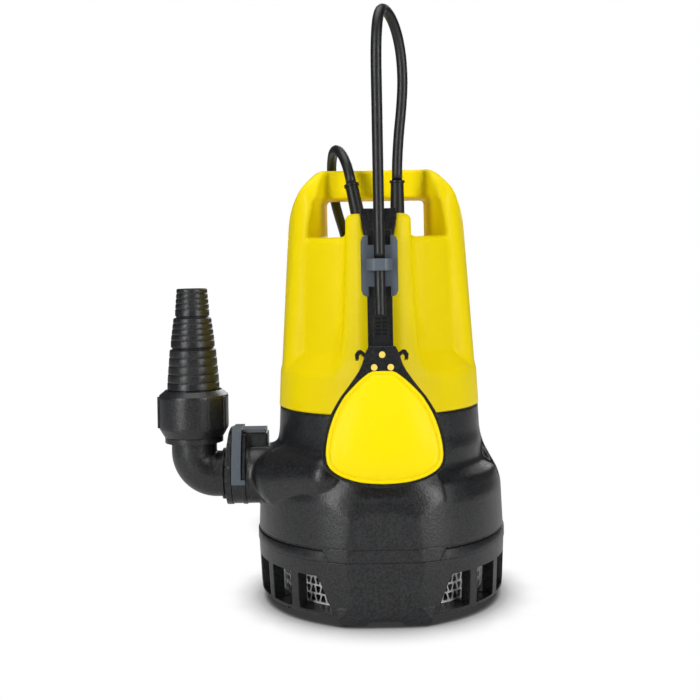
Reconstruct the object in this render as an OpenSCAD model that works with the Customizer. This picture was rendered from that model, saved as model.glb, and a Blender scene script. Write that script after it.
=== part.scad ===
// Submersible dirty-water pump with float switch, quick-connect outlet and stepped hose tail.
// Millimetres, +Z up, the front faces -Y, the origin is on the pump axis at floor level.

/* [Overall] */
// Largest radius of the base, at the raised strip
base_r = 90.8; // [80:0.1:110]
// Height of the seam between hood and black housing
seam_z = 139.4; // [110:0.1:170]
// Clearance between pieces that move past each other
gap = 0.3; // [0.2:0.05:0.5]

/* [Hood] */
// Radius of the hood at its lower seam
hood_r = 73.2; // [60:0.1:90]
// Radius of the round motor shoulder of the hood
can_r = 60.5; // [50:0.1:70]
// Height of the top of the motor shoulder
can_top = 261.5; // [220:0.5:280]
// Height where the lower band ends and the ledge begins
ledge_z = 167; // [150:0.5:190]
// Height of the inner foot of the ledge
ledge_top = 181; // [160:0.5:200]
// Wall thickness of the moulded hood
hood_wall = 2.6; // [1.5:0.1:4]
// Inward lean of the handle legs, per millimetre of height
leg_taper = 0.0624; // [0:0.001:0.15]
// Radius of the rounded handle corners
corner_r = 67.7; // [50:0.1:80]
// Half depth of the handle legs, front to back
leg_half_y = 32; // [20:0.5:45]
// Half depth of the hand bar
bar_half_y = 18; // [10:0.5:30]
// Height of the hand opening above the motor shoulder
grip_gap = 28.5; // [24:0.5:40]
// Height of the hand bar, from its underside to its top
bar_h = 21; // [14:0.5:30]
// Half width of the hand opening at its narrowest
open_half = 36; // [28:0.5:45]

/* [Spine and rail] */
// Distance of the spine front from the pump axis
spine_y = 72; // [66:0.5:85]
// Height of the two ears above the motor shoulder
ear_h = 15.5; // [6:0.5:24]
// Width of the rail head
rail_w = 17; // [10:0.5:24]
// Height of the lower end of the rail
rail_low = 152; // [145:1:200]

/* [Cable slider] */
// Width of the sliding cable clip
slider_w = 24.8; // [18:0.1:32]
// Height of the sliding cable clip
slider_h = 41; // [30:0.5:60]
// Distance of the clipped cable from the pump axis
cable_y = 85.5; // [80:0.5:100]

/* [Float switch] */
// Lean of the hanging float, degrees
float_lean = 13; // [0:0.5:25]
// Half thickness of the float at its domed middle
float_half = 18.5; // [12:0.5:24]
// Half depth of the black float frame
frame_half = 11; // [8:0.5:14]

/* [Housing] */
// Height of the parting line between housing and strainer base
base_seam = 43.5; // [35:0.5:55]
// Depth of the flat front facet behind the raised strip's radius
facet_in = 4.4; // [2:0.1:6]
// Inner radius of the pumping chamber
chamber_r = 66; // [55:0.5:70]
// Height of the pumping chamber roof
roof_z = 70; // [60:0.5:80]

/* [Outlet] */
// Height of the outlet axis
out_z = 90.4; // [80:0.1:100]
// Front-to-back place of the outlet axis
out_y = -10; // [-30:1:30]
// Distance of the outlet mouth from the pump axis
mouth_x = 111.8; // [105:0.1:118]
// Outer radius of the outlet pipe
pipe_r = 21.8; // [18:0.1:26]
// Bore radius of the quick-connect socket
socket_r = 16.6; // [12:0.1:19]
// Distance of the elbow riser from the pump axis
elbow_x = 136.5; // [134:0.1:150]
// Outer radius of the elbow tube
elbow_r = 16.5; // [14:0.1:18]
// Bore radius of the elbow
elbow_bore = 13.5; // [10:0.1:16]

/* [Union nut and hose tail] */
// Height of the union nut's lower edge
nut_low = 118.8; // [115:0.1:130]
// Height of the union nut
nut_h = 33.6; // [30:0.1:45]
// Outer radius of the union nut over its body
nut_r = 25.4; // [22:0.1:30]
// Radius of the largest hose step
step3_r = 19; // [15:0.1:24]
// Radius of the middle hose step
step2_r = 16; // [12:0.1:20]
// Radius of the smallest hose step
step1_r = 12.5; // [9:0.1:16]
// Through bore radius of the hose tail
tail_bore = 9.5; // [6:0.1:11]
// Height of the largest hose step
step3_h = 29.2; // [20:0.1:40]
// Height of the middle hose step
step2_h = 21.6; // [15:0.1:30]
// Height of the smallest hose step
step1_h = 20.3; // [15:0.1:30]
// Length of the plain clamp land at the foot of each step
land_h = 5; // [3:0.5:10]

/* [Strainer] */
// Height of the top edge of the suction slots
slot_top = 33; // [25:0.5:38]
// Angle of the first column beside the front block, degrees
column_first = 43.2; // [38:0.1:50]
// Angle taken by one column, degrees
column_deg = 4.5; // [3:0.1:8]
// Clearance of the perforated prefilter from the heads of the base screws
mesh_gap = 0.4; // [0.3:0.1:3]
// Holes around the prefilter
mesh_cols = 44; // [24:1:72]

/* [Motor] */
// Radius of the motor shaft
shaft_r = 6; // [4:0.1:8]
// Radius of the rotor core
rotor_r = 30.4; // [24:0.1:34]
// Outer radius of the stator core
stator_r = 55.4; // [45:0.1:57]
// Radius of the impeller
impeller_r = 46; // [36:0.5:50]

/* [Cords] */
// Radius of both cables
cord_r = 3.7; // [3:0.1:5]
// Radius of the outermost turn of the stored cord
coil_r = 90; // [70:0.5:120]
// Distance between neighbouring turns, sideways and upwards
coil_pitch = 8.4; // [8:0.1:10]
// Turns of the stored cord
coil_turns = 22.25; // [10:0.25:24]

/* [Hidden] */
$fn = 72;
wall_r = base_r - 0.8;
facet_y = base_r - facet_in;
bar_under = can_top + grip_gap;
top_z = bar_under + bar_h;
corner_z = top_z - 54;
spine_top = can_top + ear_h;
screw_r = (chamber_r + wall_r) / 2;
head_r = 3.6;
mesh_r = screw_r - head_r - mesh_gap;
seam_boss = hood_r - 6.7;
motor_top = can_top - 36.9;
stack_low = 138;
stack_top = motor_top - 34.6;
rail_y = spine_y + 3;
head_t = 3;
slide_top = can_top + 0.2;
slide_low = slide_top - slider_h;
band_z = slide_top - 19.7;
band_h = 8;
pivot_z = band_z - band_h / 2 - 6;
elbow_b = elbow_r + 0.6;
mains_x = 10.4;
float_x = 14.2;
gland_y = -42;
gland_h = 39.5;
mains_tilt = 10.5;
mains_back = 12;
float_tilt = 0.6;
plug_at = [-32, 315, 18.6];
yellow = [0.97, 0.90, 0.02];
black = [0.17, 0.175, 0.18];
dark = [0.10, 0.10, 0.105];
grey = [0.45, 0.49, 0.53];
steel = [0.74, 0.75, 0.76];
copper = [0.72, 0.42, 0.20];
cream = [0.96, 0.89, 0.45];

// The upright float: height of its bending point, its neck, its middle and the top of its boot
hang_z = 232;
neck_z = 185.6;
float_mid = 128;
boot_top = 207.5;
rivets = [[0, 180], [5.3, 171.8], [-5.3, 171.8]];
// Half outlines of the float, from the neck down to the lowest point
frame_pts = [[8.6, neck_z], [10.2, 182.8], [11.6, 179], [13, 174.2], [15.4, 169.4], [19.2, 163.8],
  [23.2, 158.5], [27.4, 153.1], [30.7, 147.8], [33.6, 142.6], [35.6, 137.3], [37.4, 132],
  [38.6, 126.8], [39.5, 121.6], [39.7, 116.4], [38.9, 111.3], [37.4, 108.4], [35.3, 106.1],
  [31.5, 103.4], [26.2, 101], [19, 98.6], [10, 96.6], [4, 96]];
cover_pts = [[6.7, 169.2], [9, 168.2], [12, 166], [14.7, 163.8], [20.1, 158.5], [24.9, 153.1],
  [28.2, 147.8], [31, 142.6], [33.1, 137.3], [34.8, 132], [36, 126.8], [36.8, 121.6], [37, 116.4],
  [36.2, 111.3], [34.6, 108.6], [31.9, 106.1], [27.8, 103.6], [22.8, 101.6], [14, 99.4], [4, 98.4]];
// Free route of the mains cord: over the back of the handle and down to the floor
mains_dir = [-sin(mains_tilt), cos(mains_tilt) * sin(mains_back), cos(mains_tilt) * cos(mains_back)];
mains_base = [-mains_x, gland_y, can_top] + (gland_h + 0.3) * mains_dir;
coil_c = [0, 215];
coil_z = 4.2;
coil_a0 = -45;
// Where the stored cord's straight ends meet the free stretches
coil_in = [58.34, 146.06, coil_z];
coil_out = [58.34, 283.94, 29.4];
mains_pts = [mains_base, [-19.3, -31.5, 308.6], [-21.6, -27.2, 316.8], [-24.4, -20.4, 323.2],
  [-27.2, -11.8, 326.9], [-29.6, -2.4, 327.6], [-31.2, 7, 325.4], [-32.2, 15.4, 320.6],
  [-32.6, 22.2, 313.6], [-32.2, 27, 305], [-31.2, 30.6, 296], [-29.6, 35.2, 287],
  [-27, 43, 278], [-24.2, 53, 268.4], [-21.4, 61.6, 257.4], [-17.8, 68, 244.4], [-14, 72, 230],
  [-10, 75.5, 203], [-8, 78, 186], [-6.5, 80.3, 168], [-5.5, 82.7, 145], [-4.5, 86.3, 120],
  [-3.5, 91, 97], [-2.5, 95.5, 76], [-1.5, 98, 58], [-0.5, 99.3, 44], [2.2, 101.4, 29],
  [9.3, 106.4, 16.1], [20, 114, 7.6], [33.5, 123.6, 4.6], coil_in - [9, 9, 0], coil_in];
end_pts = [coil_out, coil_out + [-9, 9, 0], [34, 303, 27.5], [20, 308.5, 25],
  [4, 312.5, 21.5], [-12, 314.5, 19.2], plug_at + [9, 0, 0], plug_at];
// Free route of the float cable: high loop from the gland to the clip
loop_base = [float_x + gland_h * sin(float_tilt), gland_y, can_top + gland_h * cos(float_tilt)];
loop_dir = [sin(float_tilt), 0, cos(float_tilt)];
loop_pts = [loop_base, loop_base + 5 * loop_dir, loop_base + 10 * loop_dir, [16.2, -42, 332], [18.4, -42, 352],
  [19.6, -43, 372], [18.3, -46, 392], [14.5, -53, 407], [9.5, -62, 415], [5, -71, 416],
  [2, -79, 409], [0.6, -84, 396], [0, -85.5, 380], [0, -cable_y, 350], [0, -cable_y, 310],
  [0, -cable_y, 280], [0, -cable_y, 255], [0, -cable_y, band_z + band_h / 2 + gap]];

// ---- helpers -------------------------------------------------------------------------------

module ring(r_out, r_in, z0, z1) {
  translate([0, 0, z0]) difference() {
    cylinder(r = r_out, h = z1 - z0);
    translate([0, 0, -1]) cylinder(r = r_in, h = z1 - z0 + 2);
  }
}

module disc(r, z0, z1) {
  translate([0, 0, z0]) cylinder(r = r, h = z1 - z0);
}

// A prism with the outline given in X and Z, running from y0 to y1
module front_prism(points, y0, y1) {
  translate([0, y1, 0]) rotate([90, 0, 0]) linear_extrude(y1 - y0) polygon(points);
}

// A prism with the outline given in Y and Z, centred on X
module side_prism(points, w) {
  rotate([90, 0, 90]) linear_extrude(w, center = true) polygon(points);
}

function mirror_x(points) = [for (i = [len(points) - 1 : -1 : 0]) [-points[i][0], points[i][1]]];
function both(points) = concat(points, mirror_x(points));

// Smooth curve through the route points
function spline(p0, p1, p2, p3, t) = 0.5 * (2 * p1 + (p2 - p0) * t
  + (2 * p0 - 5 * p1 + 4 * p2 - p3) * t * t + (3 * p1 - p0 - 3 * p2 + p3) * t * t * t);
function ends(p) = concat([2 * p[0] - p[1]], p, [2 * p[len(p) - 1] - p[len(p) - 2]]);
function smooth_path(p, steps) = let (e = ends(p)) concat(
  [for (i = [1 : len(p) - 1], k = [0 : steps - 1]) spline(e[i - 1], e[i], e[i + 1], e[i + 2], k / steps)],
  [p[len(p) - 1]]);
function unit(v) = v / norm(v);
function slope(p, i) = unit(p[min(i + 1, len(p) - 1)] - p[max(i - 1, 0)]);
function turned(u, t) = unit(u - (u * t) * t);
function sides_of(p, u0) = [for (i = 0, u = turned(u0, slope(p, 0)); i < len(p);
  i = i + 1, u = turned(u, slope(p, min(i, len(p) - 1)))) u];
function run(p, i = 0, s = 0) = i >= len(p) - 1 ? s : run(p, i + 1, s + norm(p[i + 1] - p[i]));

// One unbroken round tube swept along a list of points
module tube(p, r, n, u0) {
  u = sides_of(p, u0);
  m = len(p);
  skin = [for (i = [0 : m - 1]) let (t = slope(p, i), w = cross(t, u[i]))
    for (k = [0 : n - 1]) p[i] + r * (cos(360 * k / n) * u[i] + sin(360 * k / n) * w)];
  walls = [for (i = [0 : m - 2], k = [0 : n - 1]) let (a = i * n + k, b = i * n + (k + 1) % n)
    each [[a, b, b + n], [a, b + n, a + n]]];
  cap0 = [for (k = [1 : n - 2]) [0, k + 1, k]];
  cap1 = [for (k = [1 : n - 2]) [(m - 1) * n, (m - 1) * n + k, (m - 1) * n + k + 1]];
  polyhedron(points = skin, faces = [for (f = concat(walls, cap0, cap1)) [f[2], f[1], f[0]]],
    convexity = 10);
}

// ---- hood ----------------------------------------------------------------------------------

module hood_body(cut) {
  o = cut;
  rotate_extrude() polygon([[0, seam_z - (cut > 0 ? 1 : 0)], [hood_r - o, seam_z - (cut > 0 ? 1 : 0)],
    [hood_r - 1.2 - o, ledge_z - o * 0.5], [can_r + 0.8 - o, ledge_top - o * 0.5],
    [can_r - o, ledge_top + 1], [can_r - o, can_top - 6.5], [can_r - 1.8 - o * 0.8, can_top - 2 - o * 0.4],
    [can_r - 6 - o * 0.4, can_top - o], [0, can_top - o]]);
}

module handle_outline() {
  half = hood_r - leg_taper * (top_z - seam_z);
  intersection() {
    polygon([[-hood_r, seam_z], [hood_r, seam_z], [half, top_z], [-half, top_z]]);
    union() {
      translate([0, corner_z]) circle(r = corner_r);
      translate([-hood_r - 1, seam_z]) square([2 * hood_r + 2, corner_z - seam_z]);
    }
  }
}

module handle_frame() {
  intersection() {
    translate([0, leg_half_y, 0]) rotate([90, 0, 0]) linear_extrude(2 * leg_half_y) handle_outline();
    translate([0, 0, seam_z]) cylinder(r1 = hood_r - 0.1, r2 = hood_r - 8, h = top_z - seam_z);
    side_prism([[-leg_half_y, seam_z], [-leg_half_y, bar_under - 6], [-bar_half_y - 6, top_z - 4],
      [-bar_half_y - 2, top_z], [bar_half_y + 2, top_z], [bar_half_y + 6, top_z - 4],
      [leg_half_y, bar_under - 6], [leg_half_y, seam_z]], 200);
  }
}

module hand_opening() {
  f = open_half + 12;
  y = leg_half_y;
  translate([0, 0, can_top]) linear_extrude(bar_under - can_top) polygon([[-open_half, -2],
    [-f, -y], [-f, -y - 9], [f, -y - 9], [f, -y], [open_half, -2], [open_half, 2], [f, y],
    [f, y + 9], [-f, y + 9], [-f, y], [-open_half, 2]]);
}

// Sets the hand bar back from the legs, front and rear
module bar_setback() {
  for (s = [-1, 1]) scale([1, s, 1]) translate([0, 0, bar_under - 6]) linear_extrude(bar_h + 12)
    polygon([[-34, -bar_half_y], [34, -bar_half_y], [44, -leg_half_y - 1], [-44, -leg_half_y - 1]]);
}

module spine() {
  w = [[14.4, 0], [20.5, 3.2], [23, 10], [24, 22]];
  intersection() {
    translate([0, 0, seam_z]) linear_extrude(spine_top - seam_z) polygon(both(
      [for (q = w) [q[0] + 2, -spine_y + q[1]]]));
    front_prism(both([[12, spine_top], [16, spine_top - 0.6], [19.6, spine_top - 3.2],
      [22, spine_top - 8], [23.6, can_top - 16.5], [25.6, ledge_top], [32, ledge_z],
      [34, seam_z]]), -spine_y - 8, -40);
  }
}

module funnel_shape(o) {
  front_prism(both([[12.4 - o, spine_top + 3 - o], [12.2 - o, spine_top - 4], [10 - o, can_top + 0.5 + o]]),
    -spine_y - 6 + o * 8, -spine_y + 8 - o);
}

module yellow_hood() color(yellow) {
  difference() {
    union() {
      hood_body(0);
      handle_frame();
      spine();
    }
    hood_body(hood_wall);
    hand_opening();
    bar_setback();
    funnel_shape(0);
    // seats of the two cable glands
    for (x = [-mains_x, float_x]) translate([x, gland_y, can_top - 12]) cylinder(r = 6.1, h = 12.1);
    // seat of the rail foot
    translate([-rail_w / 2 + 2, -spine_y - 1, rail_low - 0.1]) cube([rail_w - 4, 3, can_top - rail_low]);
  }
}

module float_rail() color(black) {
  w = rail_w / 2;
  translate([-w + 2.1, -rail_y - 0.5, rail_low])
    cube([rail_w - 4.2, rail_y - spine_y + 2.4, can_top - rail_low - 0.3]);
  difference() {
    translate([-w, -rail_y - head_t, rail_low]) cube([rail_w, head_t, can_top - rail_low + 4]);
    // shallow groove for the cable along the head
    translate([0, -rail_y - head_t - 2.4, rail_low - 1]) cylinder(r = 4, h = 120);
  }
  difference() {
    funnel_shape(0.1);
    translate([0, -rail_y - head_t - 2.4, can_top - 3]) cylinder(r1 = 4, r2 = 6.5, h = 24);
  }
}

module gland(tilt, back) {
  translate([0, gland_y, can_top]) {
    intersection() {
      rotate([-back, 0, 0]) rotate([0, tilt, 0]) {
        translate([0, 0, -1.5]) cylinder(r1 = 5.4, r2 = 4.6, h = gland_h + 0.5);
        translate([0, 0, gland_h - 1.6]) cylinder(r = 5.4, h = 1.6);
      }
      translate([-20, -20, 0.05]) cube([40, 40, gland_h + 5]);
    }
    translate([0, 0, -11]) cylinder(r = 6, h = 11.4);
    translate([0, 0, -9.6]) cylinder(r = 8.5, h = 6.4);
  }
}

module mains_gland() color(dark) translate([-mains_x, 0, 0])
  gland(-atan(tan(mains_tilt) / cos(mains_back)), mains_back);

module float_gland() color(dark) translate([float_x, 0, 0]) gland(float_tilt, 0);

// ---- pump housing --------------------------------------------------------------------------

// Keeps the raised strip away from the front facet
module strip_front() {
  front_prism([[-37.9, 40], [-37.9, base_seam], [-41.1, base_seam + 6.8], [-41.1, base_seam + 12.5],
    [41.1, base_seam + 12.5], [41.1, base_seam + 6.8], [37.9, base_seam], [37.9, 40]], -base_r - 10, 0);
}

module pocket(a0, a1) {
  rotate([0, 0, a0]) rotate_extrude(angle = a1 - a0) polygon([[max(wall_r - 14.8, chamber_r + 6), 101.2],
    [wall_r - 4.5, 93.3], [wall_r - 1.4, 82.5], [wall_r + 6, 82.5], [wall_r + 6, 118],
    [max(wall_r - 13.6, chamber_r + 7), 118]]);
}

module housing_shell() {
  difference() {
    rotate_extrude() polygon([[0, base_seam], [wall_r, base_seam], [wall_r, 51], [wall_r - 1.2, 84.4],
      [wall_r - 2.5, 89.2], [wall_r - 7.1, 96], [hood_r + 1.2, 113.3], [hood_r, seam_z], [0, seam_z]]);
    // hollow between the chamber wall and the skin
    rotate_extrude() polygon([[chamber_r + 3, base_seam - 1], [wall_r - 5.6, base_seam - 1],
      [wall_r - 5.8, 80], [wall_r - 6.8, 86], [wall_r - 10.4, 92.6],
      [max(wall_r - 13.6, chamber_r + 3.5), 98.6], [chamber_r + 3, 98.6]]);
    pocket(-62, -10);
    pocket(10, 62);
    pocket(118, 170);
    translate([-100, -facet_y - 20, base_seam - 1]) cube([200, 20, 60]);
    difference() {
      rotate_extrude() translate([wall_r - 1.1, base_seam + 6.8]) square([5, 0.9]);
      strip_front();
    }
  }
  difference() {
    rotate_extrude() polygon([[wall_r - 2, base_seam], [base_r, base_seam], [base_r, base_seam + 6.4],
      [base_r - 0.4, base_seam + 6.8], [wall_r - 2, base_seam + 6.8]]);
    strip_front();
  }
}

// Half outline of the clip collar seen along the pipe, from the top down
function collar_pts(o, low) = both([[12 - o, 34.2 - o], [14 - o, 33.2 - o], [15.2 - o, 31 - o],
  [18 - o, 24.5 - o], [21.4 - o, 16 - o], [23.7 - o, 8], [24.5 - o, 0], [24.5 - o, low]]);

// A plate with the collar's outline, from x1 towards the pump
module collar(x1, t, o, low) {
  translate([x1, out_y, out_z]) rotate([90, 0, 90]) linear_extrude(t) polygon(collar_pts(o, low));
}

module outlet_pipe() {
  translate([0, out_y, out_z]) rotate([0, -90, 0]) {
    translate([0, 0, 64]) cylinder(r = pipe_r, h = mouth_x - 66.8);
    translate([0, 0, mouth_x - 14.4]) cylinder(r = pipe_r + 0.6, h = 2.6);
    translate([0, 0, mouth_x - 4.2]) cylinder(r = pipe_r + 0.6, h = 4.2);
  }
  // outer collar, thinned towards the top so that the union nut turns past it
  intersection() {
    collar(-mouth_x, 4.2, 0, -2.5);
    translate([-mouth_x, out_y, out_z]) rotate([0, -90, 0]) rotate_extrude() polygon([[0, -4.2],
      [34.5, -4.2], [34.2, -3.2], [33.6, -2.2], [32, -1.5], [28, -0.9], [24.6, 0], [0, 0]]);
  }
  // inner collar and the ramp behind it
  intersection() {
    collar(-mouth_x + 11.8, 2.6, 1.4, -4);
    translate([-mouth_x + 10.8, out_y - 40, out_z - 10]) cube([5, 80, 40.4]);
  }
  front_prism([for (q = [[14.2, 10], [14.2, 30.4], [28.4, 30.4], [29.4, 29.4], [30.4, 10]])
    [q[0] - mouth_x, q[1] + out_z]], out_y - 8.5, out_y + 8.5);
}

module pump_housing() color(black) {
  difference() {
    union() {
      housing_shell();
      outlet_pipe();
      // screw bosses, each on a web between chamber wall and skin
      for (a = [45, 135, 225, 315]) rotate([0, 0, a]) {
        translate([screw_r, 0, base_seam]) cylinder(r = 4.4, h = 16);
        translate([chamber_r + 1, -1.5, base_seam]) cube([wall_r - chamber_r - 2.5, 3, 16]);
      }
      // bosses that carry the rear of the hood seam
      for (a = [60, 180, 300]) rotate([0, 0, a]) translate([seam_boss, 0, 107]) cylinder(r = 3.5, h = 24);
    }
    // chamber, its raised collector ring and the motor space above
    disc(chamber_r, base_seam - 1, roof_z);
    ring(chamber_r, 52, base_seam, 104);
    disc(49, roof_z + 3, seam_z + 1);
    difference() {
      rotate_extrude() polygon([[0, 107], [hood_r - 1.8, 107], [hood_r - 1.8, 113],
        [hood_r - 2.8, seam_z + 1], [0, seam_z + 1]]);
      for (a = [60, 180, 300]) rotate([0, 0, a]) translate([seam_boss, 0, 106]) cylinder(r = 3.5, h = 25);
    }
    disc(8, roof_z - 1, roof_z + 4);
    // water way and socket bore
    translate([0, out_y, out_z]) rotate([0, -90, 0]) {
      translate([0, 0, 57]) cylinder(r = 14, h = 20);
      translate([0, 0, mouth_x - 39.8]) cylinder(r = socket_r, h = 45);
    }
    for (a = [45, 135, 225, 315]) rotate([0, 0, a]) translate([screw_r, 0, base_seam - 1])
      cylinder(r = 2.05, h = 14);
  }
}

module suction_plate() color(black) {
  difference() {
    union() {
      disc(chamber_r - 0.1, base_seam, base_seam + 5);
      ring(28, 22, base_seam, base_seam + 5);
    }
    disc(22, base_seam - 1, base_seam + 6);
    rotate_extrude() translate([chamber_r - 2.5, base_seam + 1.2]) square([4, 2.6]);
  }
  for (a = [0 : 60 : 300]) rotate([0, 0, a]) translate([30, -1, base_seam - 3.4]) cube([33, 2, 3.5]);
}

module volute_o_ring() color(dark) {
  translate([0, 0, base_seam + 2.5]) rotate_extrude() translate([chamber_r - 1.26, 0])
    circle(r = 1.2, $fn = 24);
}

// ---- strainer base -------------------------------------------------------------------------

module slot(a0, a1) {
  rotate([0, 0, a0 - 90]) rotate_extrude(angle = a1 - a0) translate([wall_r - 14, 9])
    square([20, slot_top - 9]);
}

module pad_block() {
  intersection() {
    front_prism([[-33, 13], [-31.3, 2.6], [-28.6, 0], [-13, 0], [-10.2, 3.1], [10.2, 3.1],
      [13, 0], [28.6, 0], [31.3, 2.6], [33, 13]], -facet_y, -68);
    side_prism([[-facet_y, 13], [-facet_y + 1.2, 7], [-facet_y + 5, 0], [-68, 0], [-68, 13]], 80);
    cylinder(r = wall_r, h = 20);
  }
}

module suction_strainer() color(black) {
  step = (180 - 2 * column_first) / 5;
  half = column_deg / 2;
  edge = [[-34.4, 8], [-35.4, 10], [-43.6, 29.5], [-47, slot_top + 1], [47, slot_top + 1],
    [43.6, 29.5], [35.4, 10], [34.4, 8]];
  difference() {
    union() {
      rotate_extrude() polygon([[chamber_r + 0.4, 40], [wall_r - 8.2, 40], [wall_r - 9.2, 9.6],
        [mesh_r + 0.6, 9], [mesh_r + 0.6, 6.5], [wall_r - 2.6, 6.5], [wall_r - 1.6, 7.4],
        [wall_r - 1, 14], [wall_r + 0.4, base_seam - 0.1],
        [chamber_r + 0.4, base_seam - 0.1]]);
      difference() {
        for (a = [0, 180]) rotate([0, 0, a]) pad_block();
        disc(mesh_r + 0.6, -1, 39.9);
      }
    }
    translate([-100, -facet_y - 20, -1]) cube([200, 20, 60]);
    // slots between the columns
    for (s = [0, 1], k = [0 : 4]) mirror([s, 0, 0])
      slot(column_first + half + k * step, column_first - half + (k + 1) * step);
    // sloped slots beside the front and rear blocks
    for (s = [0, 1], q = [0, 1]) mirror([s, 0, 0]) mirror([0, q, 0]) difference() {
      slot(18, column_first - half);
      front_prism(edge, -100, 0);
    }
    for (a = [45, 135, 225, 315]) rotate([0, 0, a]) translate([screw_r, 0, 30]) cylinder(r = 2.3, h = 20);
  }
}

module base_screws() color(steel) {
  for (a = [45, 135, 225, 315]) rotate([0, 0, a]) translate([screw_r, 0, 0]) {
    translate([0, 0, 38]) cylinder(r = 2, h = 17);
    difference() {
      translate([0, 0, 36.6]) cylinder(r = head_r, h = 3.3);
      translate([0, 0, 36]) cylinder(r = 1.6, h = 2.2, $fn = 6);
    }
  }
}

module prefilter_mesh() color(steel) {
  difference() {
    ring(mesh_r, mesh_r - 0.8, 7.4, 39.8);
    for (row = [0 : 3], k = [0 : mesh_cols - 1]) rotate([0, 0, (k + (row % 2) / 2) * 360 / mesh_cols])
      translate([mesh_r - 3, 0, 13.6 + 6.4 * row]) rotate([0, 90, 0])
        cylinder(r = 3, h = 6, $fn = 3);
  }
}

module prefilter_plate() color(black) {
  difference() {
    union() {
      disc(mesh_r + 0.3, 5.6, 7.3);
      ring(mesh_r - 1.1, mesh_r - 3.4, 5.6, 11);
      // lugs that hold the plate under the strainer's rim
      for (a = [31, 149, 211, 329]) rotate([0, 0, a]) hull() {
        translate([mesh_r - 7, -9, 2.4]) cube([4, 18, 3.8]);
        translate([mesh_r + 8, -7.6, 3]) cube([1, 15.2, 3]);
      }
    }
    for (a = [0 : 60 : 300]) rotate([0, 0, a]) translate([40, 0, 0]) cylinder(r = 9, h = 20);
  }
}

// ---- motor ---------------------------------------------------------------------------------

module motor_canister() color(steel) {
  ring(57, stator_r + 0.1, 107, motor_top - 1.5);
  disc(57, motor_top - 1.6, motor_top);
  ring(62.4, stator_r + 0.1, 107, 109);
}

module stator_core() color([0.45, 0.46, 0.48]) {
  difference() {
    ring(stator_r, rotor_r + 0.6, stack_low, stack_top);
    for (a = [0 : 30 : 330]) rotate([0, 0, a]) translate([39, 0, stack_low - 1])
      cylinder(r = 4.2, h = stack_top - stack_low + 2);
  }
}

module stator_winding() color(copper) {
  ring(50, 34, stack_low - 12, stack_low - 0.1);
  ring(50, 34, stack_top + 0.1, stack_top + 12);
  for (a = [0 : 30 : 330]) rotate([0, 0, a]) translate([39, 0, stack_low - 8])
    cylinder(r = 4.1, h = stack_top - stack_low + 16);
}

module run_capacitor() color([0.86, 0.86, 0.84]) {
  translate([-30, 8, motor_top + 15.6]) rotate([0, 90, 0]) {
    cylinder(r = 15.4, h = 60);
    translate([0, 0, 60]) cylinder(r = 3, h = 7);
  }
}

module lower_bracket() color([0.62, 0.63, 0.65]) {
  difference() {
    union() {
      disc(48.8, 86, 91);
      disc(15, 84, 104);
      ring(48.8, 45, 86, 106.8);
    }
    disc(8, 80, 110);
    disc(11.03, 93, 105);
  }
}

module upper_bracket() color([0.62, 0.63, 0.65]) {
  difference() {
    union() {
      disc(stator_r, motor_top - 18.6, motor_top - 15.6);
      disc(15, motor_top - 19.6, motor_top - 5.6);
    }
    disc(8, motor_top - 24.6, motor_top - 4.6);
    disc(11.03, motor_top - 16.6, motor_top - 6.6);
    for (a = [0 : 60 : 300]) rotate([0, 0, a]) translate([34, 0, motor_top - 24.6]) cylinder(r = 8, h = 20);
  }
}

module bearing(z0) {
  difference() {
    ring(11, shaft_r + 0.05, z0, z0 + 9.8);
    translate([0, 0, z0 - 1]) ring(9.4, 7.8, 0, 2);
    translate([0, 0, z0 + 8.8]) ring(9.4, 7.8, 0, 2);
  }
}

module lower_bearing() color(steel) bearing(93.1);

module upper_bearing() color(steel) bearing(motor_top - 16.5);

module shaft_seal() color(dark) {
  ring(13, shaft_r + 0.06, 73.1, 79);
  ring(10, shaft_r + 0.06, 79, 83);
}

module motor_shaft() color(steel) {
  disc(shaft_r, 56, motor_top - 5.6);
  disc(4, 46.5, 56);
}

module rotor_core() color([0.55, 0.56, 0.58]) {
  ring(rotor_r, shaft_r + 0.01, stack_low + 2, stack_top - 2);
  ring(26, 20, stack_low - 4, stack_low + 2);
  ring(26, 20, stack_top - 2, stack_top + 4);
}

module impeller() color(dark) {
  difference() {
    union() {
      disc(impeller_r, 64.4, 68);
      disc(11, 53, 68);
      for (a = [0 : 72 : 288]) rotate([0, 0, a]) intersection() {
        translate([0, 24, 0]) ring(35, 31.6, 52.5, 64.6);
        disc(impeller_r, 50, 66);
        translate([2, -40, 50]) cube([60, 70, 20]);
      }
    }
    disc(shaft_r + 0.01, 56, 70);
    disc(4.01, 50, 57);
  }
}

module impeller_nut() color(steel) {
  difference() {
    translate([0, 0, 48]) cylinder(r = 7.4, h = 4.9, $fn = 6);
    disc(4.01, 45, 54);
  }
}

// ---- cable slider and float ----------------------------------------------------------------

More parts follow.
